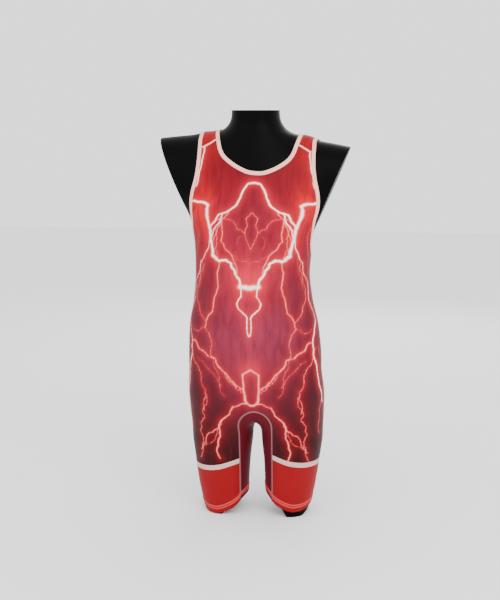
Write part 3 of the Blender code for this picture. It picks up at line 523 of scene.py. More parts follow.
THIN_BOLTS = [
    (1.3, 0.85, 0.06, 1.0, [(68, 690), (67, 668), (69, 640), (57, 622), (44, 611), (37, 598), (26, 566)]),
    (1.2, 0.7, 0.08, 1.0, [(84, 670), (78, 648), (82, 622), (74, 602)]),
    (1.2, 0.62, 0.06, 1.0, [(-1, 703), (1, 703), (13, 690), (9, 676), (14, 657)]),
    (1.2, 0.6, 0.10, 1.0, [(66, 692), (46, 686), (32, 667), (15, 658)]),
    (1.2, 0.62, 0.06, 1.0, [(14, 657), (8, 640), (0.6, 622), (-0.6, 622)]),
    (1.3, 0.45, 0.05, 1.0, [(44, 611), (24, 597), (-3, 591)]),
    (1.0, 0.4, 0.10, 1.0, [(22, 652), (30, 640), (26, 622)]),
    (1.4, 0.85, 0.07, 1.0, [(70, 592), (75, 568), (71, 536), (80, 508), (85, 478), (101, 458), (106, 440)]),
    (1.2, 0.7, 0.09, 1.0, [(106, 440), (92, 418), (91, 388), (89, 372)]),
    (1.2, 0.7, 0.09, 1.0, [(104, 456), (124, 478), (134, 500), (126, 548), (118, 596)]),
    (1.1, 0.6, 0.10, 1.0, [(106, 440), (126, 428), (150, 436)]),
    (1.1, 0.5, 0.08, 1.0, [(98, 640), (106, 606), (116, 560), (128, 528)]),
    (1.1, 0.5, 0.08, 0.8, [(140, 700), (134, 660), (140, 616), (150, 572), (152, 530)]),
    (1.6, 0.9, 0.09, 1.0, [(150, 405), (138, 406), (126, 390), (102, 376), (81, 370), (67, 346), (46, 322), (22, 302)]),
    (1.2, 0.7, 0.12, 1.0, [(60, 336), (40, 312), (22, 294)]),
    (1.8, 0.95, 0.03, 1.0, [(-1.5, 348), (1.5, 348), (18, 337), (17.5, 304), (13, 272), (7, 265), (-3, 263)]),
    (1.6, 0.9, 0.05, 1.0, [(19, 304), (17, 282), (14, 268)]),
    (1.6, 0.85, 0.09, 1.0, [(12, 268), (28, 266), (45, 261), (56, 239), (72, 226), (76, 200), (83, 178), (81, 132)]),
    (1.3, 0.75, 0.12, 1.0, [(70, 227), (92, 196), (112, 176), (128, 150)]),
    (1.1, 0.6, 0.12, 1.0, [(68, 230), (84, 192), (104, 168), (118, 160)]),
    (1.3, 0.5, 0.12, 1.0, [(86, 370), (84, 350), (76, 336), (68, 306)]),
    (1.3, 0.5, 0.12, 1.0, [(128, 366), (104, 348), (86, 334), (72, 312), (62, 286)]),
    (1.3, 0.68, 0.10, 1.0, [(160, 392), (146, 366), (128, 344), (122, 318), (108, 296), (114, 268), (112, 246)]),
    (1.7, 0.55, 0.14, 1.0, [(108, 296), (104, 280), (116, 250), (112, 228), (126, 196), (124, 160), (132, 128)]),
    (1.2, 0.6, 0.10, 0.8, [(188, 292), (172, 256), (166, 220), (168, 190)]),
    (1.1, 0.6, 0.10, 0.7, [(172, 396), (186, 366), (196, 330), (200, 280), (196, 226)]),
    (1.1, 0.45, 0.10, 0.8, [(150, 480), (168, 506), (176, 560), (182, 620)]),
    (1.1, 0.5, 0.10, 0.8, [(196, 470), (192, 400), (206, 330), (210, 250), (204, 190)]),
    (1.2, 0.8, 0.10, 1.0, [(48, 712), (64, 690), (78, 668), (88, 640)]),
    (1.2, 0.75, 0.12, 1.0, [(58, 702), (84, 684), (99, 662)]),
]


def rough_line(points, rough, rng, unit=5.0):
    """A jagged line through turning points: every piece is split and pushed sideways, less each time."""
    p = np.array(points, float)
    amp = rough
    while True:
        step = np.linalg.norm(np.diff(p, axis=0), axis=1)
        if step.max() < unit:
            return p
        out = [p[0]]
        for a, b, s in zip(p[:-1], p[1:], step):
            if s >= unit:
                side = np.array([-(b - a)[1], (b - a)[0]])
                out.append(a + (b - a) * rng.uniform(0.4, 0.6) + side * rng.uniform(-1, 1) * amp * 1.6)
            out.append(b)
        p = np.array(out)
        amp *= 0.92


def draw(u, v, bolts, rng, reach=34.0):
    """For points (u, v) in mm: nearest distance over half width, and a soft halo."""
    nearest, halo = np.full(len(u), 9.0), np.zeros(len(u))
    where = np.stack([u, v], -1)
    for width, bright, rough, left, points in bolts:
        line = rough_line(points, rough, rng)
        taper = rng.uniform(0.8, 1.15, len(line))
        glow = np.zeros(len(u))
        for mirror, share in ((-1.0, left), (1.0, 1.0)):
            q = line * np.array([mirror, 1.0])
            lo, hi = q.min(0) - reach, q.max(0) + reach
            near = np.nonzero((where >= lo).all(1) & (where <= hi).all(1))[0]
            if not len(near):
                continue
            w = where[near]
            best = np.full(len(near), 1e9)
            ratio = np.full(len(near), 9.0)
            for i in range(len(q) - 1):
                d = q[i + 1] - q[i]
                t = np.clip(((w - q[i]) @ d) / max(float(d @ d), 1e-9), 0, 1)
                gap = np.linalg.norm(w - q[i] - t[:, None] * d, axis=1)
                best = np.minimum(best, gap)
                ratio = np.minimum(ratio, gap / (width * share * (taper[i] * (1 - t) + taper[i + 1] * t)))
            nearest[near] = np.minimum(nearest[near], ratio / np.sqrt(bright) + 1.5 * (1 - bright))
            lit = bright * share
            glow[near] = np.maximum(glow[near], 0.85 * np.exp(-best / (1.5 + 1.7 * width)) * lit
                                    + 0.26 * np.exp(-(best / 15.0) ** 2) * lit * min(width / 2.0, 1.3))
        halo = np.maximum(halo, glow) + 0.22 * np.minimum(halo, glow)
    return nearest, halo


# row height in mm, then the ground's colour at the middle, half way out and at the side
GROUND = [
    (120, "#240506", "#240506", "#270407"),
    (170, "#3a0a12", "#2c060a", "#300609"),
    (215, "#5b1420", "#400c14", "#340810"),
    (300, "#742032", "#4c1622", "#3c0c16"),
    (350, "#8c2539", "#6c2132", "#420e1a"),
    (430, "#8c2c44", "#7c273c", "#521224"),
    (510, "#9a2038", "#70202e", "#5e1824"),
    (560, "#ac2038", "#7c1e30", "#641422"),
    (655, "#761a2e", "#90182c", "#8a0a20"),
    (745, "#7a1224", "#880e20", "#980a1a"),
    (815, "#700816", "#760816", "#8c0818"),
    (900, "#96040f", "#96040f", "#96040f"),
]


def ground_colour(u, v):
    rows = np.array([g[0] for g in GROUND], float)
    side = np.clip(np.abs(u), 0, 180)
    out = np.zeros((len(u), 3))
    share = [np.clip(1 - side / 80, 0, 1), np.clip(1 - np.abs(side - 80) / 70, 0, 1), np.clip((side - 80) / 70, 0, 1)]
    for k in range(3):
        tones = np.array([srgb(g[k + 1]) for g in GROUND])
        for c in range(3):
            out[:, c] += share[k] * np.interp(v, rows, tones[:, c])
    return out / sum(share)[:, None]


# soft troughs and ridges: side (0 is both), points in mm on the chart, half width mm, depth mm (a ridge is positive)
CREASES_FRONT = [
    (-1, [(40, 262), (66, 284), (92, 300)], 5.0, -0.50),
    (1, [(42, 260), (72, 278), (104, 286)], 5.5, -0.60),
    (-1, [(38, 250), (70, 262), (88, 270)], 4.0, 0.35),
    (1, [(40, 246), (76, 256), (112, 262)], 4.5, 0.40),
    (-1, [(150, 470), (110, 482), (82, 490)], 6.0, -0.45),
    (1, [(152, 488), (120, 496), (96, 498)], 5.0, -0.40),
    (-1, [(160, 508), (128, 516), (108, 520)], 6.0, 0.40),
    (1, [(164, 520), (118, 530), (100, 531)], 6.0, 0.45),
    (1, [(150, 690), (120, 676), (96, 668)], 5.0, -0.45),
    (-1, [(148, 684), (122, 674), (104, 668)], 5.0, -0.40),
    (-1, [(96, 152), (74, 172), (60, 196)], 5.0, -0.35),
    (1, [(62, 150), (88, 168), (118, 176)], 5.5, -0.40),
]
CREASES_BACK = [
    (-1, [(20, 470), (60, 478), (104, 468)], 6.5, -0.60),
    (1, [(16, 486), (70, 496), (120, 482)], 6.0, -0.55),
    (1, [(24, 508), (62, 516), (96, 510)], 5.0, 0.45),
    (-1, [(30, 522), (78, 530), (112, 520)], 5.5, 0.40),
    (-1, [(42, 250), (74, 236), (100, 232)], 5.0, -0.55),
    (1, [(44, 254), (78, 246), (112, 244)], 5.0, -0.60),
    (-1, [(150, 690), (120, 680), (92, 676)], 5.0, -0.40),
    (1, [(150, 700), (124, 690), (100, 690)], 5.0, -0.45),
]


def crease_height(u, v, table):
    out = np.zeros(len(u))
    where = np.stack([u, v], -1)
    for side, points, width, depth in table:
        q = np.array(points, float) * np.array([side, 1.0])
        step = np.r_[0, np.cumsum(np.linalg.norm(np.diff(q, axis=0), axis=1))]
        t = np.linspace(0, step[-1], 25)
        q = np.stack([smooth(step, q[:, k], t) for k in range(2)], -1)
        fade = np.sin(np.pi * np.clip(t / step[-1], 0.02, 0.98)) ** 0.7
        near = np.nonzero((where > q.min(0) - 4 * width).all(1) & (where < q.max(0) + 4 * width).all(1))[0]
        gap = np.linalg.norm(where[near][:, None] - q[None], axis=2)
        i = gap.argmin(1)
        out[near] += depth * 0.001 * fade[i] * np.exp(-(gap[np.arange(len(near)), i] / width) ** 2)
    return out


# ---------------------------------------------------------------- panels
def panel_half(side, back):
    """Fine rows x columns of one half of the front or back, with the part's seams and edges."""
    grow = SEAM_GAP / 2
    flip = side * (-1 if back else 1)
    leg_a, leg_g = seam_rows(side, back, grow)
    neck_rows = NECK_BACK if back else NECK_FRONT
    arm_rows = ARM_BACK if back else ARM_FRONT
    mid_x = float(column(MIDDLE, 1, neck_rows[0][1]))
    start = float(angle_at_x(side, np.array([neck_rows[0][1]]), np.array([mid_x]), back)[0])
    rows = [(start, neck_rows[0][1])] + list(neck_rows[1:])
    off = BIND_WIDTH / 2 + SEAM_GAP / 2
    neck_line = polyline(beside(edge_line(side, rows, 12), off, -flip), ROWS_STRAP + 1)
    arm_line = polyline(beside(edge_line(side, arm_rows, 20), off, flip), ROWS_CHEST + ROWS_STRAP + 1)
    tag = 1.0 if back else 0.0
    neck_at = locate(side, np.hstack([neck_line, np.full((len(neck_line), 1), tag)]))
    arm_at = locate(side, np.hstack([arm_line, np.full((len(arm_line), 1), tag)]))
    if back:
        over = 2 * PIVOT_Z + np.pi * FAN_RADIUS
        ends = [(-a, over - g - SEAM_GAP * 0.4) for a, g in SHOULDER_ENDS[side]]
        for at, end in zip((neck_at, arm_at), ends):
            miss = np.array(end) - at[-1]
            at += miss * (np.linspace(0, 1, len(at)) ** 6)[:, None]
    else:
        SHOULDER_ENDS[side] = (tuple(neck_at[-1]), tuple(arm_at[-1]))
        for at in (neck_at, arm_at):
            at[-1, 1] -= SEAM_GAP * 0.4
    gap_turn = SEAM_GAP / 2 / 0.15 * 57.3 * (-1 if back else 1)
    arm_at[0, 0] = SIDE_SEAM + gap_turn
    low_g = neck_at[0, 1]
    chest_g = np.linspace(arm_at[0, 1], low_g, ROWS_CHEST + 1)[1:]
    mid_g = np.r_[np.linspace(leg_g[-1], arm_at[0, 1], ROWS_SIDE + 1)[1:], chest_g]
    mid_a = angle_at_x(side, mid_g, column(MIDDLE, 1, mid_g), back)
    inner_a = np.r_[leg_a, mid_a, neck_at[1:, 0]]
    inner_g = np.r_[leg_g, mid_g, neck_at[1:, 1]]
    n_leg = len(leg_g)
    first = float(band_height(side, SIDE_SEAM)) + SEAM_GAP / 2
    outer_g = np.r_[np.linspace(first, ARCH_TOP + 0.012, n_leg),
                    np.linspace(ARCH_TOP + 0.012, arm_at[0, 1], ROWS_SIDE + 1)[1:], arm_at[1:, 1]]
    outer_a = np.r_[np.full(n_leg + ROWS_SIDE, SIDE_SEAM + gap_turn), arm_at[1:, 0]]
    t = np.linspace(0, 1, COLS + 1)
    angle = inner_a[:, None] * (1 - t) + outer_a[:, None] * t
    g = inner_g[:, None] * (1 - t) + outer_g[:, None] * t
    fade = np.clip(1 - np.arange(len(inner_g)) / (ROWS_LEG * 5 / 3), 0, 1)[:, None]
    bottom = band_height(side, angle[0]) + SEAM_GAP / 2
    g = g + fade * (bottom - g[0])[None, :]
    return place(side, angle, g), g


# height of the print, x of its axis
PRINT_AXIS = [(0.10, 0.0060), (0.28, 0.0036), (0.37, 0.0002), (0.43, -0.0015), (0.51, -0.0025), (0.62, 0.0022),
              (0.70, 0.0060), (0.785, 0.0090), (0.96, 0.0090)]


def build_panel(back, rng):
    name = "back_panel_cloth" if back else "front_panel_cloth"
    n0 = ROWS_LEG + ROWS_ARCH
    m0 = n0 + ROWS_SIDE + ROWS_CHEST
    verts, ids, charts, outs, edges = [], [], [], [], {}
    halves = [panel_half(side, back) for side in (-1, 1)]
    middle = (halves[0][0][n0:m0 + 1, 0] + halves[1][0][n0:m0 + 1, 0]) / 2
    base = 0
    for (pts, g), side in zip(halves, (-1, 1)):
        pts[n0:m0 + 1, 0] = middle
        d = np.diff(pts, axis=1)
        across = np.sqrt(np.maximum((d ** 2).sum(-1) - np.diff(g, axis=1) ** 2, 0.25 * (d ** 2).sum(-1)))
        arc = np.concatenate([np.zeros((len(g), 1)), np.cumsum(across, 1)], 1)
        axis = np.interp(g[:, 0], [r[0] for r in PRINT_AXIS], [r[1] for r in PRINT_AXIS])
        u = side * arc + (pts[:, 0, 0] - axis)[:, None]
        charts.append(np.stack([u * 1000, g * 1000], -1).reshape(-1, 2))
        verts.append(pts.reshape(-1, 3))
        grid = base + np.arange(pts.shape[0] * pts.shape[1]).reshape(pts.shape[:2])
        if side == 1:
            grid[n0:m0 + 1, 0] = ids[0][n0:m0 + 1, 0]
        ids.append(grid)
        base += grid.size
        edges[side] = (pts[-(ROWS_STRAP + 1):, 0], pts[-(ROWS_CHEST + ROWS_STRAP + 1):, -1], pts[:n0 + 1, 0],
                       pts[-1], pts[:ROWS_LEG + ROWS_ARCH + ROWS_SIDE + 1, -1])
    flat, chart = np.concatenate(verts), np.concatenate(charts)
    out = normal(flat)
    lift = CLEAR + WALL + crease_height(chart[:, 0], chart[:, 1], CREASES_BACK if back else CREASES_FRONT)
    n = len(flat)
    both = np.concatenate([flat + out * lift[:, None], flat + out * CLEAR])
    faces4, faces3 = [], []
    for grid, side in zip(ids, (-1, 1)):
        top = quads(grid)
        good = facing(both, top, np.concatenate([out, out]))
        under = quads(grid[::2, ::2])[:, ::-1] + n
        f4 = np.concatenate([top, under])
        f3 = []
        lines = [(grid[0], False), (grid[:, -1], False), (grid[-1], True), (grid[:n0 + 1, 0], True), (grid[m0:, 0], True)]
        for line, turn in lines:
            a0, a1, a2 = line[0:-1:2], line[1::2], line[2::2]
            tri = np.concatenate([np.stack([a1, a0, a0 + n], -1), np.stack([a2, a1, a2 + n], -1),
                                  np.stack([a1, a0 + n, a2 + n], -1)])
            f3.append(tri[:, ::-1] if turn else tri)
        f3 = np.concatenate(f3)
        if not good:
            f4, f3 = f4[:, ::-1], f3[:, ::-1]
        faces4.append(f4)
        faces3.append(f3)
    obj, used = add_mesh(name, both, [np.concatenate(faces4), np.concatenate(faces3)])
    u, v = chart[:, 0], chart[:, 1]
    main, glow = draw(u, v, MAIN_BOLTS, rng)
    thin_set = [b for i, b in enumerate(THIN_BOLTS) if not (back and i in (2, 3, 4, 6))]
    thin, glow2 = draw(u, v, thin_set, rng)
    strap = np.clip((v - 868) / 22, 0, 1) if back else np.zeros(len(v))
    main, thin = main + 9 * strap, thin + 9 * strap
    glow = np.maximum(glow, glow2 * 0.75) * (1 - strap) * np.interp(v, [150, 260, 330], [0.50, 0.62, 1.0])
    # warm glow of the field by the armholes and over the join of the bolts
    warm = np.exp(-((np.abs(u) - 118) / 26) ** 2 - ((v - 722) / 48) ** 2)
    warm += 0.55 * np.exp(-((np.abs(u) - 92) / 18) ** 2 - ((v - 655) / 40) ** 2)
    rose = 0.7 * np.exp(-(u / 38) ** 2 - ((v - 555) / 40) ** 2) + 0.45 * np.exp(-(u / 26) ** 2 - ((v - 352) / 20) ** 2)
    tone = ground_colour(u, v)
    data = {"bolt": main, "vein": thin, "glow": glow, "warm": warm * (1 - strap), "rose": rose * (1 - strap)}
    inner = used >= n
    src = used % n
    for key, values in data.items():
        attribute(obj, key, np.where(inner, 9.0 if key in ("bolt", "vein") else 0.0, values[src]))
    attribute(obj, "ground", np.concatenate([tone[src], np.ones((len(src), 1))], 1))
    attribute(obj, "chart", np.stack([u[src] / 1000, v[src] / 1000, 0 * src], -1))
    return obj, edges


# ---------------------------------------------------------------- materials
def nodes_of(name):
    mat = bpy.data.materials.new(name)
    mat.use_nodes = True
    tree = mat.node_tree
    return mat, tree, tree.nodes["Principled BSDF"]


def knit_bump(tree, bsdf, scale=1500.0, strength=0.12):
    coord = tree.nodes.new("ShaderNodeTexCoord")
    grain = tree.nodes.new("ShaderNodeTexNoise")
    grain.inputs["Scale"].default_value = scale
    grain.inputs["Detail"].default_value = 2.0
    bump = tree.nodes.new("ShaderNodeBump")
    bump.inputs["Strength"].default_value = strength
    bump.inputs["Distance"].default_value = 0.0003
    tree.links.new(coord.outputs["Object"], grain.inputs["Vector"])
    tree.links.new(grain.outputs["Fac"], bump.inputs["Height"])
    tree.links.new(bump.outputs["Normal"], bsdf.inputs["Normal"])


def cloth(name, colour, rough=0.62, sheen=0.25, mottle=0.08):
    mat, tree, bsdf = nodes_of(name)
    tone = np.array(srgb(colour))
    noise = tree.nodes.new("ShaderNodeTexNoise")
    noise.inputs["Scale"].default_value = 30.0
    noise.inputs["Detail"].default_value = 3.0
    coord = tree.nodes.new("ShaderNodeTexCoord")
    mix = tree.nodes.new("ShaderNodeMix")
    mix.data_type = "RGBA"
    mix.inputs["A"].default_value = (*(tone * (1 - mottle)), 1)
    mix.inputs["B"].default_value = (*np.minimum(tone * (1 + mottle), 1), 1)
    tree.links.new(coord.outputs["Object"], noise.inputs["Vector"])
    tree.links.new(noise.outputs["Fac"], mix.inputs["Factor"])
    tree.links.new(mix.outputs["Result"], bsdf.inputs["Base Color"])
    bsdf.inputs["Roughness"].default_value = rough
    bsdf.inputs["Sheen Weight"].default_value = sheen
    bsdf.inputs["Sheen Roughness"].default_value = 0.4
    bsdf.inputs["Specular IOR Level"].default_value = 0.10
    knit_bump(tree, bsdf)
    return mat


def ramp(tree, source, low, high, top=1.0):
    """1 below low, 0 above high, smoothly, times top."""
    node = tree.nodes.new("ShaderNodeMapRange")
    node.interpolation_type = "SMOOTHSTEP"
    node.inputs["From Min"].default_value = low
    node.inputs["From Max"].default_value = high
    node.inputs["To Min"].default_value = top
    node.inputs["To Max"].default_value = 0.0
    tree.links.new(source, node.inputs["Value"])
    return node.outputs["Result"]


def read(tree, name, output="Fac"):
    node = tree.nodes.new("ShaderNodeAttribute")
    node.attribute_name = name
    return node.outputs[output]


def math(tree, kind, a, b):
    node = tree.nodes.new("ShaderNodeMath")
    node.operation = kind
    for k, x in enumerate((a, b)):
        if isinstance(x, (int, float)):
            node.inputs[k].default_value = x
        else:
            tree.links.new(x, node.inputs[k])
    return node.outputs[0]


def over(tree, base, colour, amount, kind="MIX"):
    mix = tree.nodes.new("ShaderNodeMix")
    mix.data_type = "RGBA"
    mix.blend_type = kind
    mix.clamp_factor = True
    tree.links.new(amount, mix.inputs["Factor"])
    tree.links.new(base, mix.inputs["A"])
    if isinstance(colour, str):
        mix.inputs["B"].default_value = (*srgb(colour), 1)
    else:
        tree.links.new(colour, mix.inputs["B"])
    return mix.outputs["Result"]


def streaks(tree, scale, stretch, detail, low, high):
    """Noise on the chart, drawn out along the height."""
    mapping = tree.nodes.new("ShaderNodeMapping")
    mapping.inputs["Scale"].default_value = (scale, scale / stretch, 1)
    noise = tree.nodes.new("ShaderNodeTexNoise")
    noise.inputs["Scale"].default_value = 1.0
    noise.inputs["Detail"].default_value = detail
    noise.inputs["Roughness"].default_value = 0.55
    noise.inputs["Distortion"].default_value = 0.6
    tree.links.new(read(tree, "chart", "Vector"), mapping.inputs["Vector"])
    tree.links.new(mapping.outputs["Vector"], noise.inputs["Vector"])
    node = tree.nodes.new("ShaderNodeMapRange")
    node.inputs["From Min"].default_value = low
    node.inputs["From Max"].default_value = high
    tree.links.new(noise.outputs["Fac"], node.inputs["Value"])
    return node.outputs["Result"]


def printed(name):
    mat, tree, bsdf = nodes_of(name)
    bolt, vein, glow = read(tree, "bolt"), read(tree, "vein"), read(tree, "glow")
    warm, rose = read(tree, "warm"), read(tree, "rose")
    flame = streaks(tree, 70, 5.0, 4.0, 0.42, 0.68)
    cloud = streaks(tree, 22, 1.4, 4.0, 0.35, 0.70)
    colour = read(tree, "ground", "Color")
    colour = over(tree, colour, "#500610", math(tree, "MULTIPLY", flame, 0.42))
    colour = over(tree, colour, "#b81c34", math(tree, "MULTIPLY", cloud, math(tree, "MULTIPLY", glow, 0.55)))
    colour = over(tree, colour, "#e02a44", math(tree, "MULTIPLY", rose, 0.75))
    hot = math(tree, "MULTIPLY", math(tree, "SUBTRACT", 1.15, flame), warm)
    colour = over(tree, colour, "#e0180f", math(tree, "MULTIPLY", hot, 0.60))
    colour = over(tree, colour, "#e01c2c", math(tree, "MULTIPLY", glow, 0.60))
    colour = over(tree, colour, "#e84a44", ramp(tree, vein, 0.6, 2.6, 0.55))
    colour = over(tree, colour, "#f89c8e", ramp(tree, vein, 0.3, 1.5, 0.85))
    colour = over(tree, colour, "#f8685c", ramp(tree, bolt, 0.8, 2.1, 0.80))
    colour = over(tree, colour, "#fff2ec", ramp(tree, bolt, 0.5, 1.15, 1.0))
    tree.links.new(colour, bsdf.inputs["Base Color"])
    bsdf.inputs["Roughness"].default_value = 0.55
    bsdf.inputs["Sheen Weight"].default_value = 0.02
    bsdf.inputs["Sheen Roughness"].default_value = 0.4
    bsdf.inputs["Sheen Tint"].default_value = (1.0, 0.45, 0.45, 1)
    bsdf.inputs["Specular IOR Level"].default_value = 0.10
    knit_bump(tree, bsdf)
    return mat


def thread(name, colour):
    return cloth(name, colour, 0.6, 0.05, 0.05)


def shell_black(name):
    mat, tree, bsdf = nodes_of(name)
    noise = tree.nodes.new("ShaderNodeTexNoise")
    noise.inputs["Scale"].default_value = 9.0
    coord = tree.nodes.new("ShaderNodeTexCoord")
    mix = tree.nodes.new("ShaderNodeMix")
    mix.data_type = "RGBA"
    mix.inputs["A"].default_value = (0.0010, 0.0010, 0.0012, 1)
    mix.inputs["B"].default_value = (0.0018, 0.0018, 0.0021, 1)
    tree.links.new(coord.outputs["Object"], noise.inputs["Vector"])
    tree.links.new(noise.outputs["Fac"], mix.inputs["Factor"])
    tree.links.new(mix.outputs["Result"], bsdf.inputs["Base Color"])
    bsdf.inputs["Roughness"].default_value = 0.42
    bsdf.inputs["Specular IOR Level"].default_value = 0.035
    return mat


# ---------------------------------------------------------------- build the cloth
rng = np.random.default_rng(7)
PRINT = printed("printed_knit")
front, edge_front = build_panel(False, rng)
back, edge_back = build_panel(True, np.random.default_rng(19))
put(front, PRINT, "printed_knit", "front_panel")
put(back, PRINT, "printed_knit", "back_panel")

PALE = cloth("binding_knit", "#f8b8a8", 0.6, 0.04, 0.03)
WHITE = cloth("pale_knit", "#c8a8a0", 0.62, 0.04, 0.03)
RED = cloth("red_knit", "#860812", 0.58, 0.02, 0.06)
MAROON = cloth("maroon_knit", "#540a18", 0.58, 0.02, 0.08)
# darker copy of the pale thread for the inner-leg and side seams: partly greyer thread, partly painted shade
SHADED_THREAD = thread("pale_thread_with_painted_shade", "#7e5254")
BRIGHT = thread("white_thread", "#f8b8a8")
PINK = thread("pink_thread", "#c0403e")


def even(line, gap, closed=False):
    """The line with points about gap apart."""
    if closed:
        line = np.concatenate([line, line[:1]])
    length = np.linalg.norm(np.diff(line, axis=0), axis=1).sum()
    count = int(round(length / gap))
    out = polyline(line, count + 1)
    return out[:-1] if closed else out


def soften(line, closed, times=6):
    for _ in range(times):
        mid = (np.roll(line, 1, 0) + 2 * line + np.roll(line, -1, 0)) / 4
        if not closed:
            mid[0], mid[-1] = line[0], line[-1]
        line = mid
    return settle(line)


def bind(name, loop, flip, node):
    line = soften(even(loop, 0.0035, True), True, 6)
    t = np.linspace(0, 1, 13)
    offsets = SEAM_GAP * 0.5 + (BIND_WIDTH - SEAM_GAP * 0.5) * (1 - np.cos(np.pi * t)) / 2
    heights = 0.0004 + 0.0020 * (1 - np.abs(2 * t - 1) ** 3.2) - 0.00035 * np.exp(-((t - 0.22) / 0.06) ** 2) \
        - 0.00025 * np.exp(-((t - 0.5) / 0.09) ** 2)
    obj = tube(name, line, offsets, heights, CLEAR, True, flip)
    obj.data.shade_smooth()
    return put(obj, PALE, "binding_knit", node), line


loop = np.concatenate([edge_front[-1][0], edge_back[-1][0][::-1][1:], edge_back[1][0][1:], edge_front[1][0][::-1][1:-1]])
neck_band, neck_line = bind("neck_binding_band", loop, -1, "neck_binding")
arm_bands = {}
for side, word in ((-1, "left"), (1, "right")):
    loop = np.concatenate([edge_front[side][1], edge_back[side][1][::-1][1:-1]])
    arm_bands[side], _ = bind("armhole_binding_%s_band" % word, loop, -side, "armhole_binding_" + word)


def stitch_row(name, line, half, height, base, pitch=0.0032, closed=False, flat_lock=False):
    """Thread laid along a line: a low band whose crown rises and falls with the stitches."""
    line = soften(even(line, pitch / 4, closed), closed, 2)
    t = np.linspace(-1, 1, 7)
    n = len(line)
    phase = 2 * np.pi * np.arange(n) / 4.0
    slant = t * (2.2 if flat_lock else 0.6)
    wave = 0.80 + 0.20 * np.cos(phase[:, None] + slant[None])
    return tube(name, line, t * half, height * np.sqrt(np.maximum(1 - t * t, 0.02)), base, closed, 1, wave)


# pale flatlock seams over the inner-leg piece, the shoulders and the sides; those on the inner leg and the sides use a
# darker copy of the thread, partly greyer thread and partly painted shade
seam_base = CLEAR + WALL
seams = []


def band_strip(side, top, bottom, rows, cols=9 * 8):
    """Rows x columns of a leg band from its lower to its upper edge, between the inner-leg seams."""
    r = np.linspace(0, 1, rows + 1)
    ends = []
    for back in (False, True):
        g = np.full(rows + 1, 0.09 if rows > 10 else 0.12)
        for _ in range(5):
            a = seam_angle(side, g, back, SEAM_GAP / 2)
            g = bottom(a) * (1 - r) + top(a) * r
        ends.append(a)
    t = np.linspace(0, 1, cols + 1)
    a = np.concatenate([ends[0][:, None] * (1 - t) + SIDE_SEAM * t,
                        SIDE_SEAM * (1 - t[1:]) + ends[1][:, None] * t[1:]], 1)
    return place(side, a, bottom(a) * (1 - r[:, None]) + top(a) * r[:, None])


HEM_FOLD = 0.0175
cuffs, stripes = {}, {}
for side, word in ((-1, "left"), (1, "right")):
    high = lambda a: band_height(side, a) - SEAM_GAP / 2
    under = lambda a: band_height(side, a) - STRIPE_WIDTH
    hem = lambda a: hem_height(side, a)
    pts = band_strip(side, high, lambda a: under(a) + SEAM_GAP / 2, 6)
    soft = 0.00025 * np.sin(np.pi * np.linspace(0, 1, 7))[:, None]
    stripes[side] = put(shell("stripe_%s_cloth" % word, pts, CLEAR, CLEAR + WALL + soft), WHITE, "pale_knit", "stripe_" + word)
    pts = band_strip(side, lambda a: under(a) - SEAM_GAP / 2, hem, 44)
    tall = np.linalg.norm(np.diff(pts, axis=0), axis=2)
    up = np.concatenate([np.zeros((1, pts.shape[1])), np.cumsum(tall, 0)])
    fold = 0.0007 * np.clip((HEM_FOLD + 0.002 - up) / 0.003, 0, 1)
    rim = -0.0006 * np.exp(-up / 0.0012)
    crease = crease_height((np.arange(pts.shape[1])[None] * 2.6 + 0 * up).ravel(), (up * 1000).ravel(),
                           [(1, [(60, 34), (96, 46), (130, 50)], 5.0, -0.4), (1, [(150, 60), (190, 66), (230, 58)], 6.0, -0.4),
                            (1, [(250, 30), (290, 40), (330, 42)], 5.0, -0.35), (1, [(20, 62), (50, 74), (80, 78)], 4.0, 0.3)]).reshape(up.shape)
    cuffs[side] = put(shell("cuff_%s_cloth" % word, pts, CLEAR, CLEAR + WALL + fold + rim + crease), RED, "red_knit", "cuff_" + word)
    # cover stitch: two rows of thread at the top of the hem's fold
    for k, rise in enumerate((HEM_FOLD - 0.0055, HEM_FOLD)):
        row = np.stack([np.array([np.interp(rise, up[:, c], pts[:, c, j]) for j in range(3)]) for c in range(pts.shape[1])])
        obj = stitch_row("hem_stitch_%s_%d" % (word, k + 1), settle(row), 0.0017, 0.0007, CLEAR + WALL + 0.0006)
        seams.append((obj, PINK, "red_knit", ("cuff", side)))


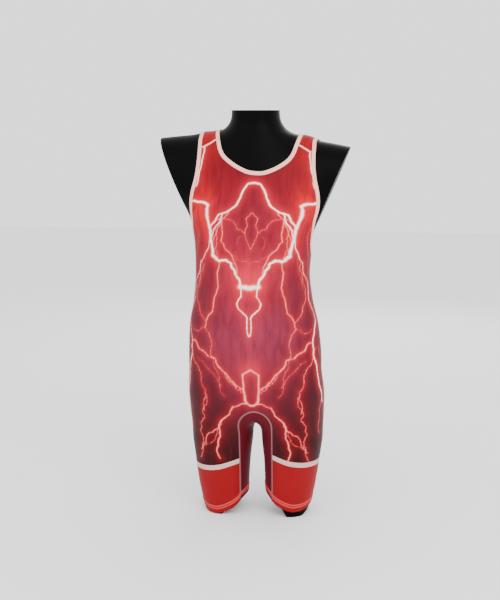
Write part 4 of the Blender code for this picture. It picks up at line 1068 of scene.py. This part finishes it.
def gusset_grid(k_rows=8, k_cols=7):
    """The inner-leg piece, finer than the part's wall but on the same lines."""
    rise = ARCH_TOP - ARCH_HALF
    r = ARCH_HALF - SEAM_GAP / 2
    cols = 8 * k_cols
    rows = []
    for side in (-1, 1):
        def end(fn, g0, back):
            g = np.array([g0])
            for _ in range(6):
                a = angle_at_x(side, g, np.full(1, LEG_MID_SEAM + side * r), back)
                g = np.array([fn(float(a[0]))])
            return float(g[0])
        both = []
        for rear in (False, True):
            g_hem = end(lambda a: float(hem_height(side, a)), 0.03, rear)
            g_low = end(lambda a: float(band_height(side, a)) - STRIPE_WIDTH, 0.11, rear)
            g_high = end(lambda a: float(band_height(side, a)), 0.13, rear)
            g = np.r_[np.linspace(g_hem, g_low, 4 * k_rows + 1), np.linspace(g_low, g_high, k_rows // 2 + 1)[1:],
                      np.linspace(g_high, rise, 3 * k_rows + 1)[1:]]
            t = np.radians(np.linspace(0, 90, 5 * k_rows + 1))[1:]
            turn = np.r_[np.zeros(len(g)), t]
            half = np.r_[np.full(len(g), r), r * np.cos(t)]
            g = np.r_[g, rise + r * np.sin(t)]
            a = angle_at_x(side, g, LEG_MID_SEAM + side * half, rear)
            both.append((place(side, a, g), turn, g))
        (front_pts, turn, gf), (rear_pts, _, gb) = both
        s = np.linspace(0, 1, cols + 1)
        t = 0.55 * (1 - np.cos(np.pi * s)) / 2 + 0.45 * s
        y = front_pts[:, 1:2] * (1 - t) + rear_pts[:, 1:2] * t
        low = np.minimum(gf, rise)[:, None] * (1 - t) + np.minimum(gb, rise)[:, None] * t
        bulge = float(hem_height(side, 180.0)) - 0.5 * (gf[0] + gb[0])
        fade = np.clip(1 - np.arange(len(gf)) / (4 * k_rows), 0, 1)[:, None]
        low = low + fade * bulge * np.sin(np.pi * s)[None, :] ** 0.8
        start = np.stack([np.full_like(y, LEG_MID_SEAM), y, low], -1)
        way = np.stack([side * np.cos(turn)[:, None] + 0 * y, 0 * y, np.sin(turn)[:, None] + 0 * y], -1)
        pts = cast(start, way, 0.10, outward=False)
        pts[:, 0], pts[:, -1] = front_pts, rear_pts
        rows.append(pts if side < 0 else pts[::-1][1:])
    return np.concatenate(rows, axis=0)


inner = gusset_grid()
up_l = np.concatenate([np.zeros((1, inner.shape[1])), np.cumsum(np.linalg.norm(np.diff(inner, axis=0), axis=2), 0)])
up_r = up_l[-1:] - up_l
near_hem = np.minimum(up_l, up_r)
fold = 0.0007 * np.clip((HEM_FOLD + 0.002 - near_hem) / 0.003, 0, 1) - 0.0006 * np.exp(-near_hem / 0.0012)
gusset = put(shell("gusset_cloth", inner, CLEAR, CLEAR + WALL + fold), MAROON, "maroon_knit", "gusset")
for side, word, up in ((-1, "left", up_l), (1, "right", up_r)):
    for k, rise in enumerate((HEM_FOLD - 0.0055, HEM_FOLD)):
        row = []
        for c in range(inner.shape[1]):
            line, height = (inner[:, c], up[:, c]) if side < 0 else (inner[::-1, c], up[::-1, c])
            row.append([np.interp(rise, height, line[:, j]) for j in range(3)])
        obj = stitch_row("gusset_stitch_%s_%d" % (word, k + 1), settle(np.array(row)), 0.0017, 0.0007, CLEAR + WALL + 0.0006)
        seams.append((obj, PINK, "red_knit", ("gusset", 0)))

for word, column_no in (("front", 0), ("back", -1)):
    obj = stitch_row("inner_leg_seam_" + word, inner[:, column_no], 0.0021, 0.0009, seam_base, flat_lock=True)
    seams.append((obj, SHADED_THREAD, "binding_knit", ("gusset", 0)))
for side, word in ((-1, "left"), (1, "right")):
    obj = stitch_row("shoulder_seam_" + word, edge_front[side][3][2:-2], 0.0022, 0.0009, seam_base, flat_lock=True)
    seams.append((obj, BRIGHT, "binding_knit", ("front", 0)))
    obj = stitch_row("side_seam_" + word, edge_front[side][4][2:-3], 0.0017, 0.0007, seam_base, flat_lock=True)
    seams.append((obj, SHADED_THREAD, "binding_knit", ("front", 0)))
groups = {}
for obj, mat, slot_name, owner in seams:
    put(obj, mat, slot_name)
    groups.setdefault(owner, []).append(obj.name)


# ---------------------------------------------------------------- the dress form
def loft_rings(bm, rings):
    rows = [[bm.verts.new(p) for p in r] for r in rings]
    for a, b in zip(rows[:-1], rows[1:]):
        for i in range(len(a)):
            j = (i + 1) % len(a)
            bm.faces.new((a[i], a[j], b[j], b[i]))
    bm.faces.new(rows[0][::-1])
    bm.faces.new(rows[-1])


def oval(cx, cy, a, front_d, rear_d, power, n=36):
    t = 2 * np.pi * np.arange(n) / n
    c, s = np.cos(t), np.sin(t)
    r = (np.abs(c / a) ** power + np.abs(s / np.where(s < 0, front_d, rear_d)) ** power) ** (-1 / power)
    return cx + r * c, cy + r * s


def prism(name, corners, depth):
    bm = bmesh.new()
    face = bm.faces.new([bm.verts.new((x, -depth, z)) for x, z in corners])
    for v in bmesh.ops.extrude_face_region(bm, geom=[face])["geom"]:
        if isinstance(v, bmesh.types.BMVert):
            v.co.y = depth
    bmesh.ops.recalc_face_normals(bm, faces=bm.faces[:])
    for v in bm.verts:
        v.co += Vector(SHIFT)
    mesh = bpy.data.meshes.new(name)
    bm.to_mesh(mesh)
    bm.free()
    obj = bpy.data.objects.new(name, mesh)
    bpy.context.scene.collection.objects.link(obj)
    return obj


def build_form():
    bm = bmesh.new()
    loft_rings(bm, [np.stack([*oval(r[5], r[6], r[1], r[2], r[3], r[4]), np.full(36, r[0] + 0.02)], -1) for r in TORSO])
    for side in (-1, 1):
        loft_rings(bm, [np.stack([*oval(LEG_MID + side * r[4], r[5], r[1], r[2], r[3], 2.15), np.full(36, r[0])], -1)
                        for r in LEG])
    loft_rings(bm, [np.stack([*oval(r[4], r[5], r[1], r[2], r[3], 2.1), np.full(36, r[0])], -1) for r in NECK])
    beam = []
    for x in np.linspace(-0.245, 0.245, 15):
        ax = min(abs(x), 0.24)
        high, deep = float(column(ARM, 2, ax)), float(column(ARM, 3, ax))
        y, z = oval(float(column(ARM, 4, ax)), float(column(ARM, 1, ax)) + SHOULDER_TILT * x, deep, high, high, 2.25)
        beam.append(np.stack([np.full(36, x), y, z], -1))
    loft_rings(bm, beam)
    bmesh.ops.recalc_face_normals(bm, faces=bm.faces[:])
    mesh = bpy.data.meshes.new("form_rough")
    bm.to_mesh(mesh)
    bm.free()
    rough = bpy.data.objects.new("form_rough", mesh)
    bpy.context.scene.collection.objects.link(rough)
    remesh = rough.modifiers.new("one_skin", "REMESH")
    remesh.mode = "VOXEL"
    remesh.voxel_size = 0.0055
    bpy.context.view_layer.update()
    skin = bpy.data.meshes.new_from_object(rough.evaluated_get(bpy.context.evaluated_depsgraph_get()))
    bpy.data.objects.remove(rough)
    at = np.empty(len(skin.vertices) * 3)
    skin.vertices.foreach_get("co", at)
    at = settle(at.reshape(-1, 3), -0.0004, 6)
    near = np.exp(-((at[:, 0] - LEG_MID) / 0.035) ** 4 - ((at[:, 2] - 0.225) / 0.045) ** 4)
    at = settle(at, -0.0004 - 0.003 * near, 2) + SHIFT
    skin.vertices.foreach_set("co", at.ravel())
    skin.name = "dress_form_shell"
    skin.update()
    obj = bpy.data.objects.new("dress_form_shell", skin)
    bpy.context.scene.collection.objects.link(obj)
    cuts = [prism("cut_neck", [(-0.3, NECK_TOP), (0.3, NECK_TOP), (0.3, 1.1), (-0.3, 1.1)], 0.3)]
    (ax, az), (bx, bz) = ARM_CUT
    for side in (-1, 1):
        way = np.array([ax - bx, az - bz]) / np.hypot(ax - bx, az - bz)
        low, high = np.array([bx, bz]) - way * 0.10, np.array([ax, az]) + way * 0.15
        corners = [low, high, high + np.array([0.4, -0.1]), low + np.array([0.4, -0.1])]
        cuts.append(prism("cut_arm", [(side * x + ARM_CUT_SHIFT, z + SHOULDER_TILT * side * x) for x, z in corners], 0.3))
    for side in (-1, 1):
        r, x0 = LEG[1][1], LEG_MID + side * LEG[1][4]
        up = 0.0 if side < 0 else 0.010
        under = [(1.60, FLOOR + 0.032), (0.74, FLOOR), (0.06, FLOOR), (-0.28, 0.009 + up), (-0.60, 0.020 + up), (-1.55, 0.045 + up)]
        corners = [(x0 + side * u * r, z) for u, z in under] + [(x0 - side * 1.55 * r, -0.2), (x0 + side * 1.6 * r, -0.2)]
        cuts.append(prism("cut_foot", corners, 0.3))
    for i, c in enumerate(cuts):
        mod = obj.modifiers.new("cut_%d" % i, "BOOLEAN")
        mod.operation = "DIFFERENCE"
        mod.solver = "EXACT"
        mod.object = c
    bpy.context.view_layer.update()
    done = bpy.data.meshes.new_from_object(obj.evaluated_get(bpy.context.evaluated_depsgraph_get()))
    obj.modifiers.clear()
    obj.data = done
    for c in cuts:
        bpy.data.objects.remove(c)
    done.shade_smooth()
    done.set_sharp_from_angle(angle=np.radians(40))
    done.materials.clear()
    return obj


form = build_form()
put(form, shell_black("form_black"), "form", "dress_form")

for side in (-1, 1):
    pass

# ---------------------------------------------------------------- stage, light and camera
TARGET = np.array([-0.0097, -0.0131, 0.501])
AZ, EL, DIST = np.radians(8.0), np.radians(10.0), 2.45


def area_light(name, az, el, dist, size, power, tint=(1, 1, 1)):
    light = bpy.data.lights.new(name, "AREA")
    light.shape = "SQUARE"
    light.size = size
    light.energy = power
    light.color = tint
    obj = bpy.data.objects.new(name, light)
    a, e = np.radians(az), np.radians(el)
    spot = Vector(TARGET) + Vector((np.sin(a) * np.cos(e), -np.cos(a) * np.cos(e), np.sin(e))) * dist
    obj.location = spot
    obj.rotation_euler = (Vector(TARGET) - spot).to_track_quat("-Z", "Y").to_euler()
    bpy.context.scene.collection.objects.link(obj)


area_light("key_light", 34, 34, 2.6, 1.6, 36)
area_light("fill_light", -30, 24, 2.8, 1.8, 12)
area_light("back_light", 175, 22, 2.6, 1.6, 20)

world = bpy.data.worlds.new("studio")
world.use_nodes = True
world.node_tree.nodes["Background"].inputs["Color"].default_value = (1.0, 1.0, 1.0, 1)
world.node_tree.nodes["Background"].inputs["Strength"].default_value = 1.8
bpy.context.scene.world = world

bm = bmesh.new()
bmesh.ops.create_grid(bm, x_segments=2, y_segments=2, size=6.0)
mesh = bpy.data.meshes.new("floor")
bm.to_mesh(mesh)
bm.free()
floor = bpy.data.objects.new("floor", mesh)
bpy.context.scene.collection.objects.link(floor)
mat, tree, bsdf = nodes_of("floor_paper")
bsdf.inputs["Base Color"].default_value = (0.90, 0.90, 0.90, 1)
bsdf.inputs["Roughness"].default_value = 0.9
bsdf.inputs["Specular IOR Level"].default_value = 0.1
mesh.materials.append(mat)

cam_data = bpy.data.cameras.new("photo_camera")
cam_data.lens = 63.6
cam_data.sensor_width = 36.0
cam_data.clip_start = 0.05
cam = bpy.data.objects.new("photo_camera", cam_data)
spot = TARGET + DIST * np.array([np.sin(AZ) * np.cos(EL), -np.cos(AZ) * np.cos(EL), np.sin(EL)])
cam.location = spot
cam.rotation_euler = Vector(TARGET - spot).to_track_quat("-Z", "Y").to_euler()
bpy.context.scene.collection.objects.link(cam)
bpy.context.scene.camera = cam
